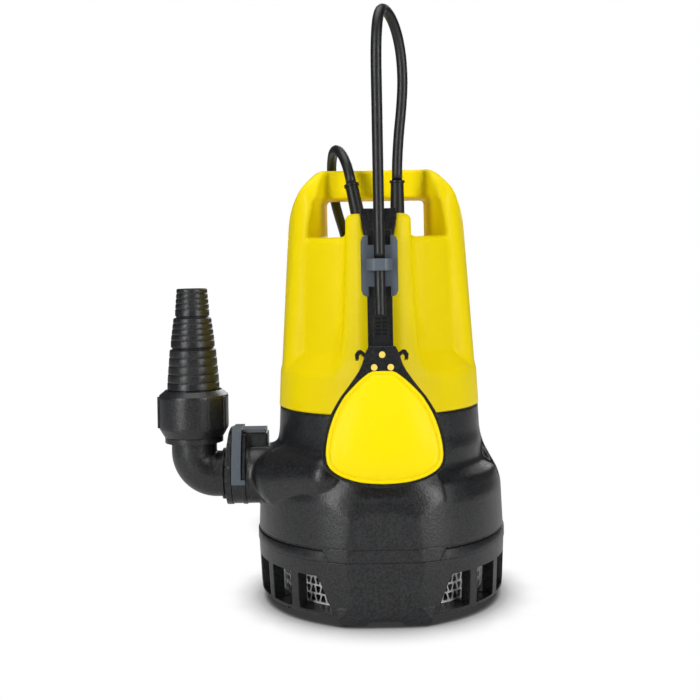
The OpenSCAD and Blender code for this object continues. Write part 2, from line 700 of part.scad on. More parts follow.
module cable_slider() color(grey) {
  w = slider_w / 2;
  h0 = slide_low;
  inner = rail_w / 2 + gap;
  difference() {
    front_prism(both([[w - 3, slide_top], [w - 1, slide_top - 1.2], [w, slide_top - 4], [w, h0 + 4],
      [w - 1, h0 + 1.2], [w - 3, h0]]), -rail_y - head_t - 2.9, -spine_y - 0.4);
    // room for the rail head and its neck
    translate([-inner, -rail_y - head_t - gap, h0 - 1]) cube([2 * inner, head_t + 2 * gap, slider_h + 2]);
    translate([-inner + 2.1, -rail_y, h0 - 1]) cube([2 * inner - 4.2, 8, slider_h + 2]);
    // notches in the front plate
    translate([-7.4, -rail_y - 10, slide_top - 6.5]) cube([14.8, 12, 8]);
    translate([-7.4, -rail_y - 10, h0 - 1.5]) cube([14.8, 12, 8]);
    translate([0, -cable_y, h0 - 1]) cylinder(r = cord_r + 1.6, h = slider_h + 2);
  }
  // strap that holds the cable
  difference() {
    intersection() {
      translate([-8.5, -cable_y - 6, band_z - band_h / 2])
        cube([17, cable_y + 6 - rail_y - head_t - 0.9, band_h]);
      translate([0, -cable_y + 3, band_z - band_h / 2]) cylinder(r = 9.6, h = band_h);
    }
    translate([0, -cable_y, band_z - 10]) cylinder(r = cord_r + 0.05, h = 20);
  }
}

// Short stretch of the float cable that the strap holds, with its bending point
module cable_grip() color(dark) {
  translate([0, -cable_y, pivot_z]) {
    cylinder(r = cord_r, h = band_z + band_h / 2 - pivot_z);
    sphere(r = cord_r - 0.02, $fn = 48);
  }
}

module at_float() {
  translate([0, -cable_y, pivot_z]) rotate([-float_lean, 0, 0]) translate([0, 0, -hang_z]) children();
}

module cover_prism(s, y0, y1) {
  translate([0, 0, float_mid]) scale(s) translate([0, 0, -float_mid])
    front_prism(both(cover_pts), y0 / s, y1 / s);
}

module float_frame() color(black) at_float() {
  difference() {
    front_prism(both(frame_pts), -frame_half, frame_half);
    difference() {
      cover_prism(1.008, -20, 20);
      cover_prism(1.1, -3.6, 3.6);
    }
    translate([-9, -5, 104]) cube([18, 10, 46]);
    for (q = rivets) translate([q[0], -7, q[1]])
      rotate([90, 0, 0]) cylinder(r = 1.3, h = 6);
    translate([0, 0, neck_z - 5]) cylinder(r = 3.4, h = 12);
  }
  // hooks at the neck
  for (s = [-1, 1]) scale([s, 1, 1]) difference() {
    front_prism([[9.5, 181.6], [13.6, 184.6], [15.6, 184.4], [17.6, 181.6], [17.2, 178.4],
      [15, 178.2], [15, 181], [14, 182.2], [11.2, 179.6]], -3, 3);
  }
}

module float_shell() {
  difference() {
    intersection() {
      cover_prism(1, -float_half, -3.7);
      translate([0, 150 - float_half, float_mid]) sphere(r = 150, $fn = 120);
    }
    intersection() {
      cover_prism(0.94, -float_half + 2.2, -2);
      translate([0, 150 - float_half + 2.2, float_mid]) sphere(r = 150, $fn = 120);
    }
  }
}

module float_front_shell() color(yellow) at_float() float_shell();

module float_rear_shell() color(yellow) at_float() mirror([0, 1, 0]) float_shell();

module float_rivets() color(cream) at_float() {
  for (q = rivets) translate([q[0], -7.1, q[1]]) rotate([90, 0, 0]) {
    cylinder(r = 1.25, h = 4.5);
    translate([0, 0, frame_half - 7.1]) cylinder(r = 2.1, h = 0.9);
  }
}

module float_boot() color(dark) at_float() {
  z0 = neck_z + 0.05;
  translate([0, 0, neck_z - 4.9]) cylinder(r = 3.35, h = 6);
  difference() {
    front_prism(both([[6.6, z0], [6.6, z0 + 1.4], [5.3, z0 + 7.4], [5, boot_top - 1.4],
      [4, boot_top]]), -4.5, 4.5);
    // bending slots, two columns on the front and on the back
    for (s = [-1, 1], x = [-3.9, 0.5], k = [0 : 4]) translate([x, s * 4.5 - 0.8, boot_top - 14 + 2.6 * k])
      cube([3.4, 1.6, 1.4]);
  }
}

module float_cord_drop() color(dark) at_float() {
  translate([0, 0, boot_top + 0.05]) cylinder(r = cord_r, h = hang_z - cord_r - gap - boot_top - 0.05);
}

module tilt_switch() color([0.8, 0.8, 0.78]) at_float() {
  translate([-8.6, -4.7, 108]) cube([17.2, 9.4, 30]);
  translate([0, 0, 138]) cylinder(r = 3, h = 8);
}

// ---- outlet --------------------------------------------------------------------------------

module release_clip() color(grey) {
  r0 = pipe_r + gap;
  x0 = -mouth_x + 4.6;
  foot = out_z - 4.2;
  w = 6.8;
  difference() {
    collar(x0, w, 0, -4.2);
    translate([x0 - 1, out_y, out_z]) rotate([0, 90, 0]) cylinder(r = r0, h = w + 2);
    translate([x0 - 1, out_y - r0, out_z - 40]) cube([w + 2, 2 * r0, 40]);
  }
  // thumb pad over the ramp, and the feet at the ends of the legs
  translate([x0, out_y - 8.5, out_z + 30.7]) cube([24, 17, 2.4]);
  for (s = [-1, 1]) translate([x0 + w - 0.1, out_y + s * 24 - 0.5, foot]) cube([3.3, 1, 3.4]);
}

module outlet_elbow() color(black) {
  b = elbow_b;
  difference() {
    union() {
      translate([0, out_y, out_z]) rotate([0, -90, 0]) {
        translate([0, 0, mouth_x - 35.8]) cylinder(r = socket_r - 0.1, h = 37.6);
        translate([0, 0, mouth_x + 1.8]) cylinder(r = elbow_r + 2, h = 1.6);
        translate([0, 0, mouth_x + 1.8]) cylinder(r = elbow_r, h = elbow_x - b - mouth_x - 1.8);
      }
      translate([-elbow_x + b, out_y, out_z + b]) rotate([90, 0, 0]) rotate([0, 0, 180])
        rotate_extrude(angle = 90) translate([b, 0]) circle(r = elbow_r);
      translate([-elbow_x, out_y, 0]) {
        disc(elbow_r, out_z + b, nut_low - 4.3);
        disc(21.2, nut_low - 4.4, nut_low - gap);
        disc(20.3, nut_low - 4.4, nut_low + 24);
      }
    }
    translate([0, out_y, out_z]) rotate([0, -90, 0]) {
      translate([0, 0, mouth_x - 36.8]) cylinder(r = elbow_bore, h = elbow_x - b - mouth_x + 36.8);
      translate([0, 0, mouth_x - 27.8]) difference() {
        cylinder(r = 20, h = 2.4);
        translate([0, 0, -1]) cylinder(r = socket_r - 1.8, h = 5);
      }
    }
    translate([-elbow_x + b, out_y, out_z + b]) rotate([90, 0, 0]) rotate([0, 0, 180])
      rotate_extrude(angle = 90) translate([b, 0]) circle(r = elbow_bore);
    translate([-elbow_x, out_y, 0]) {
      disc(elbow_bore, out_z + b, nut_low + 34);
      for (k = [0 : 5]) ring(24, 19.6, nut_low + 3 + 3.4 * k, nut_low + 4.7 + 3.4 * k);
    }
  }
}

module elbow_o_ring() color(dark) {
  translate([-mouth_x + 26.6, out_y, out_z]) rotate([0, -90, 0]) rotate_extrude()
    translate([socket_r - 0.93, 0]) circle(r = 0.85, $fn = 24);
}

module union_gasket() color(dark) translate([-elbow_x, out_y, 0]) {
  ring(19.6, elbow_bore, nut_low + 24.05, nut_low + 26);
}

// Barbed outline of one hose step: a plain land at its foot, then teeth up to its top
function step_pts(r, z0, h, top) = let (n = 4, a = z0 + land_h, d = (h - land_h) / n) concat(
  [[r, z0]], [for (k = [0 : n - 1]) each [[r - (r - top) * k / n + (k > 0 ? 0.2 : 0), a + k * d],
    [r - (r - top) * (k + 1) / n - 0.2, a + (k + 1) * d - 0.1]]]);

module hose_tail() color(black) translate([-elbow_x, out_y, 0]) {
  z3 = nut_low + nut_h + 0.6;
  z2 = z3 + step3_h + 1.5;
  z1 = z2 + step2_h + 1.2;
  rotate_extrude() polygon(concat([[tail_bore, nut_low + 26.05], [20.3, nut_low + 26.05],
    [20.3, nut_low + 29.2], [18.4, nut_low + 29.2], [18.4, z3]], step_pts(step3_r, z3, step3_h, step2_r + 0.9),
    [[step2_r - 1, z3 + step3_h], [step2_r - 1, z2]], step_pts(step2_r, z2, step2_h, step1_r + 1.3),
    [[step1_r - 0.9, z2 + step2_h], [step1_r - 0.9, z1]], step_pts(step1_r, z1, step1_h, step1_r - 1.3),
    [[tail_bore, z1 + step1_h - 0.1]]));
}

module union_nut() color(black) translate([-elbow_x, out_y, 0]) {
  top = nut_low + nut_h;
  difference() {
    union() {
      rotate_extrude() polygon([[0, nut_low], [21.8, nut_low], [nut_r - 0.2, nut_low + 6],
        [nut_r, nut_low + 8], [nut_r, top - 5], [nut_r - 0.4, top - 3.5], [20.7, top], [0, top]]);
      // paired grip ribs
      for (a = [-57, -23, 63, 97, 161, 195]) rotate([0, 0, a]) translate([nut_r - 1.5, -1.1, nut_low + 6.6])
        cube([2.6, 2.2, nut_h - 10.9]);
    }
    disc(20.6, nut_low - 1, nut_low + 29.5);
    disc(step3_r + gap, nut_low, top + 1);
  }
}

// ---- cords ---------------------------------------------------------------------------------

module float_cord_loop() color(dark) tube(smooth_path(loop_pts, 2), cord_r, 10, [0, 1, 0]);

module mains_cord() color(dark) tube(mains_pts, cord_r, 10, [0, 1, 0]);

// Stored cord: four layers that spiral in and out, one unbroken tube
layer_turns = coil_turns / 4;
function in_part(t) = let (m = t - 2 * floor(t / 2)) m < 1 ? m : 2 - m;
function coil_rad(t) = coil_r - coil_pitch * layer_turns * in_part(t);
function step_up(t) = let (k = floor(t + 0.5), d = (t - k) * layer_turns)
  k < 1 ? 0 : k > 3 ? 3 : abs(d) < 0.25 ? k - 0.5 + 2 * d : floor(t);
coil_path = [for (i = [0 : floor(coil_turns * 24)]) let (t = i / 24 / layer_turns, a = coil_a0 + i * 15)
  [coil_c[0] + coil_rad(t) * cos(a), coil_c[1] + coil_rad(t) * sin(a), coil_z + coil_pitch * step_up(t)]];
coil_gap = min([for (i = [0 : 2 : len(coil_path) - 1], j = [i + 12 : 1 : min(i + 300, len(coil_path) - 1)])
  norm(coil_path[i] - coil_path[j])]) - 2 * cord_r;

module mains_coil() color(dark) {
  tube(concat([coil_in], coil_path, [coil_out]), cord_r, 6, [0, 0, 1]);
}

module mains_cord_end() color(dark) tube(end_pts, cord_r, 10, [0, 0, 1]);

module mains_plug() color(dark) translate(plug_at) rotate([0, -90, 0]) {
  rotate_extrude() polygon([[0, 0], [4.6, 0], [5.2, 9], [8.6, 14], [12, 26], [17.8, 31], [18.2, 34],
    [18.2, 49], [17.4, 50], [0, 50]]);
  for (s = [-1, 1]) translate([-9, s * 12.5 - 2, 18]) cube([18, 4, 22]);
}

module plug_pins() color(steel) translate(plug_at - [50.05, 0, 0]) rotate([0, -90, 0]) {
  for (s = [-1, 1]) translate([0, s * 9.5, 0]) {
    cylinder(r = 2.4, h = 17.5);
    translate([0, 0, 17.5]) cylinder(r1 = 2.4, r2 = 1.4, h = 1.5);
  }
}

echo(stored_cord_metres = run(coil_path) / 1000, least_gap_mm = coil_gap);
echo(mains_free_metres = run(smooth_path(mains_pts, 4)) / 1000,
  end_metres = run(smooth_path(end_pts, 4)) / 1000);
echo(float_loop_metres = run(smooth_path(loop_pts, 4)) / 1000);

yellow_hood();
pump_housing();
suction_strainer();
prefilter_mesh();
prefilter_plate();
suction_plate();
volute_o_ring();
base_screws();
motor_canister();
stator_core();
stator_winding();
run_capacitor();
lower_bracket();
upper_bracket();
lower_bearing();
upper_bearing();
shaft_seal();
float_rail();
mains_gland();
float_gland();
motor_shaft();
rotor_core();
impeller();
impeller_nut();
cable_slider();
cable_grip();
float_frame();
float_front_shell();
float_rear_shell();
float_rivets();
float_boot();
float_cord_drop();
tilt_switch();
release_clip();
outlet_elbow();
elbow_o_ring();
hose_tail();
union_gasket();
union_nut();
float_cord_loop();
mains_cord();
mains_coil();
mains_cord_end();
mains_plug();
plug_pins();
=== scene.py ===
"""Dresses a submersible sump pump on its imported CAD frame: moulded hood and housing, float switch on its
sliding cable clip, outlet elbow with stepped hose tail, perforated prefilter and the coiled mains lead."""

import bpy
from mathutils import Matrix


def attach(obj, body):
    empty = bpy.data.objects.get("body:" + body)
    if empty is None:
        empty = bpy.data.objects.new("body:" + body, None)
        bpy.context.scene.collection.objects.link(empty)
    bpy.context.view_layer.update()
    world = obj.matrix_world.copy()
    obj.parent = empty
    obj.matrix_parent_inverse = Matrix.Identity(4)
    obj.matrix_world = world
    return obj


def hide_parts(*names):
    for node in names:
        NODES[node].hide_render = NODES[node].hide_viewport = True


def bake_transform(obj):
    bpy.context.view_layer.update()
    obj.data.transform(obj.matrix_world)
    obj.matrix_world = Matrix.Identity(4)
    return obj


bl_info = {
    "name": "Submersible Pump Dresser",
    "version": (1, 0, 0),
    "blender": (4, 5, 0),
    "location": "View3D > Sidebar > Pump",
    "description": "Builds the looks of a submersible sump pump round its CAD frame",
    "category": "Object",
}

import math
from functools import reduce

import bmesh
import bpy
import numpy as np
from bpy.props import FloatProperty, IntProperty, PointerProperty, StringProperty
from mathutils import Matrix, Vector
from mathutils.geometry import tessellate_polygon

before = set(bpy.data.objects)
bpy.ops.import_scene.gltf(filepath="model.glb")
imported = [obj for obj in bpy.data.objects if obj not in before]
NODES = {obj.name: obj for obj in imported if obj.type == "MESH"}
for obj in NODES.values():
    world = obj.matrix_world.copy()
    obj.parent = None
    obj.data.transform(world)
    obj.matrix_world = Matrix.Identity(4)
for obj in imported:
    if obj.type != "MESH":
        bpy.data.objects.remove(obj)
MM = 0.001
MOST_QUADS = 99000    # of one moulding, which keeps it under 200,000 triangles
WELD, MERGE = 1e-6, 1e-5    # metres within which two points are one, in CAD meshes and in this script's


# ---- shader helpers ----

def srgb(code):
    """Linear RGBA of an sRGB hex colour."""
    parts = [int(code[i:i + 2], 16) / 255 for i in (1, 3, 5)]
    return tuple(c / 12.92 if c <= 0.04045 else ((c + 0.055) / 1.055) ** 2.4 for c in parts) + (1.0,)


def add(tree, kind, inputs=None, **settings):
    """Adds a node with its settings; an input is a value, or the output socket that feeds it."""
    node = tree.nodes.new(kind)
    for name, value in settings.items():
        setattr(node, name, value)
    for key, value in (inputs or {}).items():
        if isinstance(value, bpy.types.NodeSocket):
            tree.links.new(value, node.inputs[key])
        else:
            node.inputs[key].default_value = value
    return node


def first(tree, kind, inputs=None, **settings):
    """Adds a node and returns its first output."""
    return add(tree, kind, inputs, **settings).outputs[0]


def empty_tree(owner):
    """The node tree of a material or a world, turned on and emptied."""
    owner.use_nodes = True
    owner.node_tree.nodes.clear()
    return owner.node_tree


def new_material(name):
    """A material with its emptied tree and its object coordinates."""
    material = bpy.data.materials.new(name)
    tree = empty_tree(material)
    return material, tree, add(tree, "ShaderNodeTexCoord").outputs["Object"]


def surface(tree, **shader):
    """Ends a tree in one Principled shader; an underscore in an input's name stands for a space."""
    inputs = {name.replace("_", " "): value for name, value in shader.items()}
    add(tree, "ShaderNodeOutputMaterial", {"Surface": first(tree, "ShaderNodeBsdfPrincipled", inputs)})


def noise(tree, place, size_mm, detail, rough):
    """Noise whose blobs are about size_mm across."""
    return first(tree, "ShaderNodeTexNoise", {"Vector": place, "Scale": 1000 / size_mm, "Detail": detail,
                                              "Roughness": rough})


def spread(tree, value, low, high, start=0.3, end=0.7):
    """The value's span from start to end, stretched to run from low to high."""
    return first(tree, "ShaderNodeMapRange", {"Value": value, "From Min": start, "From Max": end,
                                              "To Min": low, "To Max": high})


def tint(tree, value, dark, light):
    """A colour between two sRGB hex colours, told by the value."""
    mix = add(tree, "ShaderNodeMix", {0: value, 6: srgb(dark), 7: srgb(light)}, data_type="RGBA")
    return mix.outputs[2]


def relief(tree, height, depth_mm, strength, edge_mm=0.0):
    """The normal of a surface bumped by a height, on edges that are rounded by edge_mm."""
    inputs = {"Height": height, "Distance": depth_mm * MM, "Strength": strength}
    if edge_mm:
        inputs["Normal"] = first(tree, "ShaderNodeBevel", {"Radius": edge_mm * MM}, samples=4)
    return first(tree, "ShaderNodeBump", inputs)


def moulded(name, dark, light, rough, grain_mm, grain_depth, edge_mm=0.0, uneven=0.05, gloss=0.35):
    """Injection moulded plastic: a spark-eroded grain that breaks the highlight, its pits coloured darker
    than its peaks as painted shade, uneven sheen where it has been handled, and edges rounded by the
    mould's own radius."""
    material, tree, place = new_material(name)
    grain = noise(tree, place, grain_mm, 2, 0.6)
    worn = noise(tree, place, 9, 4, 0.6)
    surface(tree, IOR=1.5, Specular_IOR_Level=gloss,
            # painted shade: the base colour follows the grain's height, so its pits are coloured darker
            # than its peaks
            Base_Color=tint(tree, spread(tree, grain, 0, 1, 0.36, 0.64), dark, light),
            Roughness=spread(tree, worn, rough - uneven, rough + uneven),
            Normal=relief(tree, grain, grain_depth, 0.8, edge_mm))
    return material


def metal(name, dark, light, rough, grain_mm, edge_mm=0.0, stretch=(1, 1, 1)):
    """Bare metal: high reflectance, its finish told by fine scratches along one way and by smudges."""
    material, tree, place = new_material(name)
    drawn = first(tree, "ShaderNodeMapping", {"Vector": place, "Scale": stretch})
    lines = noise(tree, drawn, grain_mm, 4, 0.65)
    smudge = noise(tree, place, 14, 4, 0.6)
    surface(tree, Metallic=1.0, Base_Color=tint(tree, spread(tree, smudge, 0, 1), dark, light),
            Roughness=spread(tree, lines, rough - 0.08, rough + 0.08),
            Normal=relief(tree, lines, 0.02, 0.6, edge_mm))
    return material


def cable_jacket(name, code):
    """Extruded rubber jacket: satin black with slow waviness along its length and a dusty bloom."""
    material, tree, place = new_material(name)
    along = first(tree, "ShaderNodeUVMap", uv_map="along")
    wavy = first(tree, "ShaderNodeMapping", {"Vector": along, "Scale": (3.0, 90.0, 1.0)})
    drawn = first(tree, "ShaderNodeTexNoise", {"Vector": wavy, "Scale": 2.0, "Detail": 3.0})
    dust = spread(tree, noise(tree, place, 8, 4, 0.65), 0, 1, 0.5, 0.9)
    surface(tree, IOR=1.5, Base_Color=tint(tree, dust, code, "#1E1F22"),
            Roughness=spread(tree, drawn, 0.36, 0.48), Normal=relief(tree, drawn, 0.06, 0.7))
    return material


# ---- mesh helpers ----

def placed(name, data):
    """A new object in the scene that shows the data."""
    thing = bpy.data.objects.new(name, data)
    bpy.context.scene.collection.objects.link(thing)
    return thing


def mesh_object(name, points, faces, material, smooth=True, scale=MM):
    """A mesh object at the origin, from points in millimetres unless another scale is named."""
    mesh = bpy.data.meshes.new(name)
    mesh.from_pydata((np.asarray(points, np.float64) * scale).tolist(), [], faces)
    mesh.validate()
    mesh.polygons.foreach_set("use_smooth", [smooth] * len(mesh.polygons))
    mesh.materials.append(material)
    return placed(name, mesh)


def finished(thing, body, slot, *nodes):
    """Seats a finished piece on its body and hides the CAD nodes that it stands for."""
    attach(thing, body)
    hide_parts(*nodes)


def join(thing, others):
    """Joins other mesh objects into the first."""
    with bpy.context.temp_override(active_object=thing, selected_editable_objects=[thing] + others):
        bpy.ops.object.join()


def bands(rings, n, closed=False):
    """Quads between rings of n points each; closed joins the last ring to the first as well."""
    faces = []
    for i in range(rings if closed else rings - 1):
        here, there = i * n, (i + 1) % rings * n
        faces += [[here + k, here + (k + 1) % n, there + (k + 1) % n, there + k] for k in range(n)]
    return faces


def lathe(profile, turns, centre=(0, 0, 0)):
    """Points and faces of a closed outline of (radius, height) turned about an upright axis."""
    angles = [2 * math.pi * k / turns for k in range(turns)]
    points = [(r * math.cos(a), r * math.sin(a), z) for a in angles for r, z in profile]
    faces = [[a, d, c, b] for a, b, c, d in bands(turns, len(profile), closed=True)]
    return np.array(points) + np.array(centre), faces


def cleaned(thing, angle):
    """Merges doubled points, turns all faces outwards and keeps the edges that bend by more than the angle,
    in degrees, sharp in the smooth shading."""
    work = bmesh.new()
    work.from_mesh(thing.data)
    bmesh.ops.remove_doubles(work, verts=work.verts, dist=MERGE)
    bmesh.ops.dissolve_degenerate(work, dist=MERGE / 2, edges=work.edges)
    bmesh.ops.recalc_face_normals(work, faces=work.faces)
    work.to_mesh(thing.data)
    work.free()
    thing.data.set_sharp_from_angle(angle=math.radians(angle))


def spline(points, step):
    """Smooth curve through route points, with a point about every step, in the points' own unit."""
    p = [Vector(q) for q in points]
    p = [2 * p[0] - p[1]] + p + [2 * p[-1] - p[-2]]
    out = []
    for i in range(1, len(p) - 2):
        count = max(1, round((p[i + 1] - p[i]).length / step))
        for k in range(count):
            t = k / count
            out.append(0.5 * (2 * p[i] + (p[i + 1] - p[i - 1]) * t
                              + (2 * p[i - 1] - 5 * p[i] + 4 * p[i + 1] - p[i + 2]) * t * t
                              + (3 * p[i] - p[i - 1] - 3 * p[i + 1] + p[i + 2]) * t * t * t))
    return out + [p[-2]]


def eased(path):
    """The path with its bends evened out twice, both ends kept."""
    for _ in range(2):
        path = path[:1] + [(a + 2 * b + c) / 4 for a, b, c in zip(path, path[1:], path[2:])] + path[-1:]
    return path


# ---- rounded forms from distance fields ----

def common(*parts):
    """Intersection of distances, with sharp edges."""
    return reduce(np.maximum, parts)


def either(*parts):
    """Union of distances, with sharp edges."""
    return reduce(np.minimum, parts)


def graded(value, stations, sizes):
    """A size that changes along a value, given at some stations."""
    return np.interp(value, stations, sizes).astype(np.float32)


def melt(a, b, k):
    """Union of two distances with a fillet of about k millimetres."""
    h = np.clip(0.5 + 0.5 * (b - a) / k, 0, 1)
    return b * (1 - h) + a * h - k * h * (1 - h)


def trim(a, b, k):
    """Intersection of two distances with an edge rounded by about k millimetres."""
    return -melt(-a, -b, k)


def rounded(a, b, radius):
    """Intersection of two distances with an exact edge radius."""
    p, q = a + radius, b + radius
    return np.minimum(np.maximum(p, q), 0) + np.hypot(np.maximum(p, 0), np.maximum(q, 0)) - radius


def half_plane(u, v, through, slope):
    """Distance beyond a line through a point, its normal pointing along slope."""
    n = math.hypot(*slope)
    return ((u - through[0]) * slope[0] + (v - through[1]) * slope[1]) / n


def tapered_bar(x, y, z, start, end):
    """Distance to a bar with round ends; each end is its place and its radius."""
    run = [b - a for a, b in zip(start, end)]
    off = [x - start[0], y - start[1], z - start[2]]
    t = np.clip(sum(o * w for o, w in zip(off, run)) / sum(w * w for w in run[:3]), 0, 1)
    return np.sqrt(sum((o - t * w) ** 2 for o, w in zip(off, run))) - start[3] - t * run[3]


def skin(field, low, high, step):
    """Quads on the surface where a distance field, a function of x, y and z in millimetres, is zero."""
    axes = [np.arange(lo, hi + step, step, dtype=np.float32) for lo, hi in zip(low, high)]
    f = field(*np.meshgrid(*axes, indexing="ij")).astype(np.float32)
    shape = tuple(n - 1 for n in f.shape)
    total = np.zeros(shape + (3,), np.float32)
    count = np.zeros(shape, np.float32)
    corners = [(i, j, k) for i in (0, 1) for j in (0, 1) for k in (0, 1)]
    part = {c: f[tuple(slice(i, i + n) for i, n in zip(c, shape))] for c in corners}
    # one point in each cell that the surface crosses, the mean of the crossings of its edges
    for a in corners:
        for axis in range(3):
            if a[axis]:
                continue
            b = tuple(1 if n == axis else a[n] for n in range(3))
            crossed = (part[a] < 0) != (part[b] < 0)
            fa, fb = part[a][crossed], part[b][crossed]
            place = np.tile(np.array(a, np.float32), (len(fa), 1))
            place[:, axis] = fa / (fa - fb)
            total[crossed] += place
            count[crossed] += 1
    used = count > 0
    index = np.full(shape, -1, np.int64)
    index[used] = np.arange(int(used.sum()))
    cells = np.argwhere(used).astype(np.float32)
    points = (cells + total[used] / count[used][:, None]) * step + np.array(low, np.float32)
    # one quad round each grid edge that the surface crosses, from the points of its four cells
    faces = []
    for axis in range(3):
        u, v = np.eye(3, dtype=np.int64)[[(axis + 1) % 3, (axis + 2) % 3]]
        inside = f[tuple(slice(None) if n == axis else slice(1, -1) for n in range(3))] < 0
        change = np.diff(inside.astype(np.int8), axis=axis)
        spot = np.argwhere(change)
        quad = np.stack([index[tuple((spot + way).T)] for way in (0 * u, u, u + v, v)], 1)
        enters = change[tuple(spot.T)] > 0
        quad[enters] = quad[enters][:, ::-1]
        faces.append(quad)
    faces = np.concatenate(faces)
    faces = faces[(faces >= 0).all(1)].tolist()
    # two steps along the slope, which is taken over reach millimetres, put the points on the surface
    reach = 0.25
    for _ in range(2):
        value = field(*points.T)
        slope = np.stack([(field(*(points + way).T.astype(np.float32))
                           - field(*(points - way).T.astype(np.float32))) / (2 * reach)
                          for way in np.eye(3) * reach], 1)
        move = value[:, None] * slope / np.maximum((slope ** 2).sum(1), 0.3)[:, None]
        size = np.linalg.norm(move, axis=1, keepdims=True)
        points = points - move * np.minimum(1, 0.6 * step / np.maximum(size, 1e-9))
    return points, faces


def moulding(name, field, low, high, step, material):
    """A piece on the surface of a distance field, refused if it has more than MOST_QUADS faces."""
    points, faces = skin(field, low, high, step)
    if len(faces) > MOST_QUADS:
        raise RuntimeError(f"{name} has {len(faces)} faces, more than {MOST_QUADS}")
    return mesh_object(name, points, faces, material)


# ---- sizes and colours that can be set ----

class PumpLooks(bpy.types.PropertyGroup):
    """Colours and finishes of the pump's materials"""
    yellow: StringProperty(name="Yellow", description="Hood and float covers, sRGB hex", default="#F2DA00")
    black: StringProperty(name="Black", description="Housing, base, float frame and outlet, sRGB hex",
                          default="#040405")
    grey: StringProperty(name="Grey", description="Sliding clip and locking clip, sRGB hex",
                         default="#525A62")
    cable: StringProperty(name="Cable", description="Cable jacket, sRGB hex", default="#0D0E10")
    grain: FloatProperty(name="Grain", description="Depth of the moulded grain in millimetres",
                         default=0.05, min=0.0, max=0.3)
    holes_round: IntProperty(name="Perforations Round", default=104, min=12, max=200,
                             description="Openings round the prefilter, an even number")
    hole_rows: IntProperty(name="Perforation Rows", description="Rows of prefilter openings",
                           default=5, min=1, max=10)


class PumpView(bpy.types.PropertyGroup):
    """Camera and lights"""
    lens: FloatProperty(name="Lens", description="Focal length in millimetres", default=54.46,
                        min=10, max=300)
    distance: FloatProperty(name="Distance", description="Camera's distance in front of the pump's axis",
                            default=0.79, min=0.2, max=5, unit="LENGTH")
    side: FloatProperty(name="Side", description="Camera's place across", default=-0.0197, unit="LENGTH")
    height: FloatProperty(name="Height", description="Camera's height", default=0.242, unit="LENGTH")
    shift: FloatProperty(name="Shift", description="Lens shift, which keeps uprights parallel",
                         default=-0.1214)
    roll: FloatProperty(name="Roll", description="Camera's turn about its own axis",
                        default=math.radians(-1.0), unit="ROTATION")
    key: FloatProperty(name="Key Light", description="Power of the left softbox in watts",
                       default=11.4, min=0, max=500)
    fill: FloatProperty(name="Fill Light", description="Power of the right softbox in watts",
                        default=10.8, min=0, max=500)


# ---- places shared by the pieces, in millimetres as in the CAD source ----

SEAM_Z, CAN_TOP, TOP_Z = 139.4, 261.5, 311.0
HOOD_R, CAN_R, WALL = 73.2, 60.5, 2.6
LEDGE_Z, LEDGE_TOP = 167.0, 181.0
SKIRT_R, SKIRT_TOP = 72.2, LEDGE_Z - 0.5
LEG_TAPER, CORNER_R, CORNER_Z, LEG_Y, BAR_Y = 0.0624, 67.7, 257.0, 32.0, 18.0
OPEN_HALF, BAR_UNDER = 36.0, 290.0
SPINE_Y, SPINE_TOP, RAIL_W, RAIL_LOW = 72.0, 277.0, 17.0, 152.0
CABLE_Y, BAND_Z, BAND_H = 85.5, 242.0, 8.0
PIVOT = (0.0, -CABLE_Y, BAND_Z - BAND_H / 2 - 6)
FLOAT_LEAN = math.radians(13)
FACET_Y, OUT_Z, PIPE_R = 86.4, 90.4, 21.8
ELBOW_X, OUT_Y, NUT_LOW, NUT_H = 136.5, -10.0, 118.8, 33.6
CORD_R, CORD_GAP = 3.7, 0.3    # the gap keeps a cord off the piece that it starts or ends at
CLIP_TOP = BAND_Z + BAND_H / 2 + CORD_GAP

MAINS_X, FLOAT_X, GLAND_Y, GLAND_H = -10.4, 14.2, -42.0, 39.5
MAINS_TILT, MAINS_BACK, FLOAT_TILT = math.radians(10.5), math.radians(12), math.radians(0.6)
MAINS_DIR = (-math.sin(MAINS_TILT), math.cos(MAINS_TILT) * math.sin(MAINS_BACK),
             math.cos(MAINS_TILT) * math.cos(MAINS_BACK))
LOOP_DIR = (math.sin(FLOAT_TILT), 0.0, math.cos(FLOAT_TILT))
COIL_C, COIL_Z, COIL_R, COIL_PITCH, COIL_TURNS, COIL_LAYERS = (0.0, 215.0), 4.2, 90.0, 8.4, 22.25, 4
COIL_POINTS, COIL_START = 24, -45    # points on one turn, and the angle where the cord begins, degrees
COIL_IN, COIL_OUT, COIL_LEAD = (58.34, 146.06, 4.2), (58.34, 283.94, 29.4), 9


def beyond(base, way, distance):
    """The point at a distance from the base along a direction."""
    return tuple(b + distance * w for b, w in zip(base, way))


MAINS_BASE = beyond((MAINS_X, GLAND_Y, CAN_TOP), MAINS_DIR, GLAND_H + CORD_GAP)
LOOP_BASE = beyond((FLOAT_X, GLAND_Y, CAN_TOP), LOOP_DIR, GLAND_H)

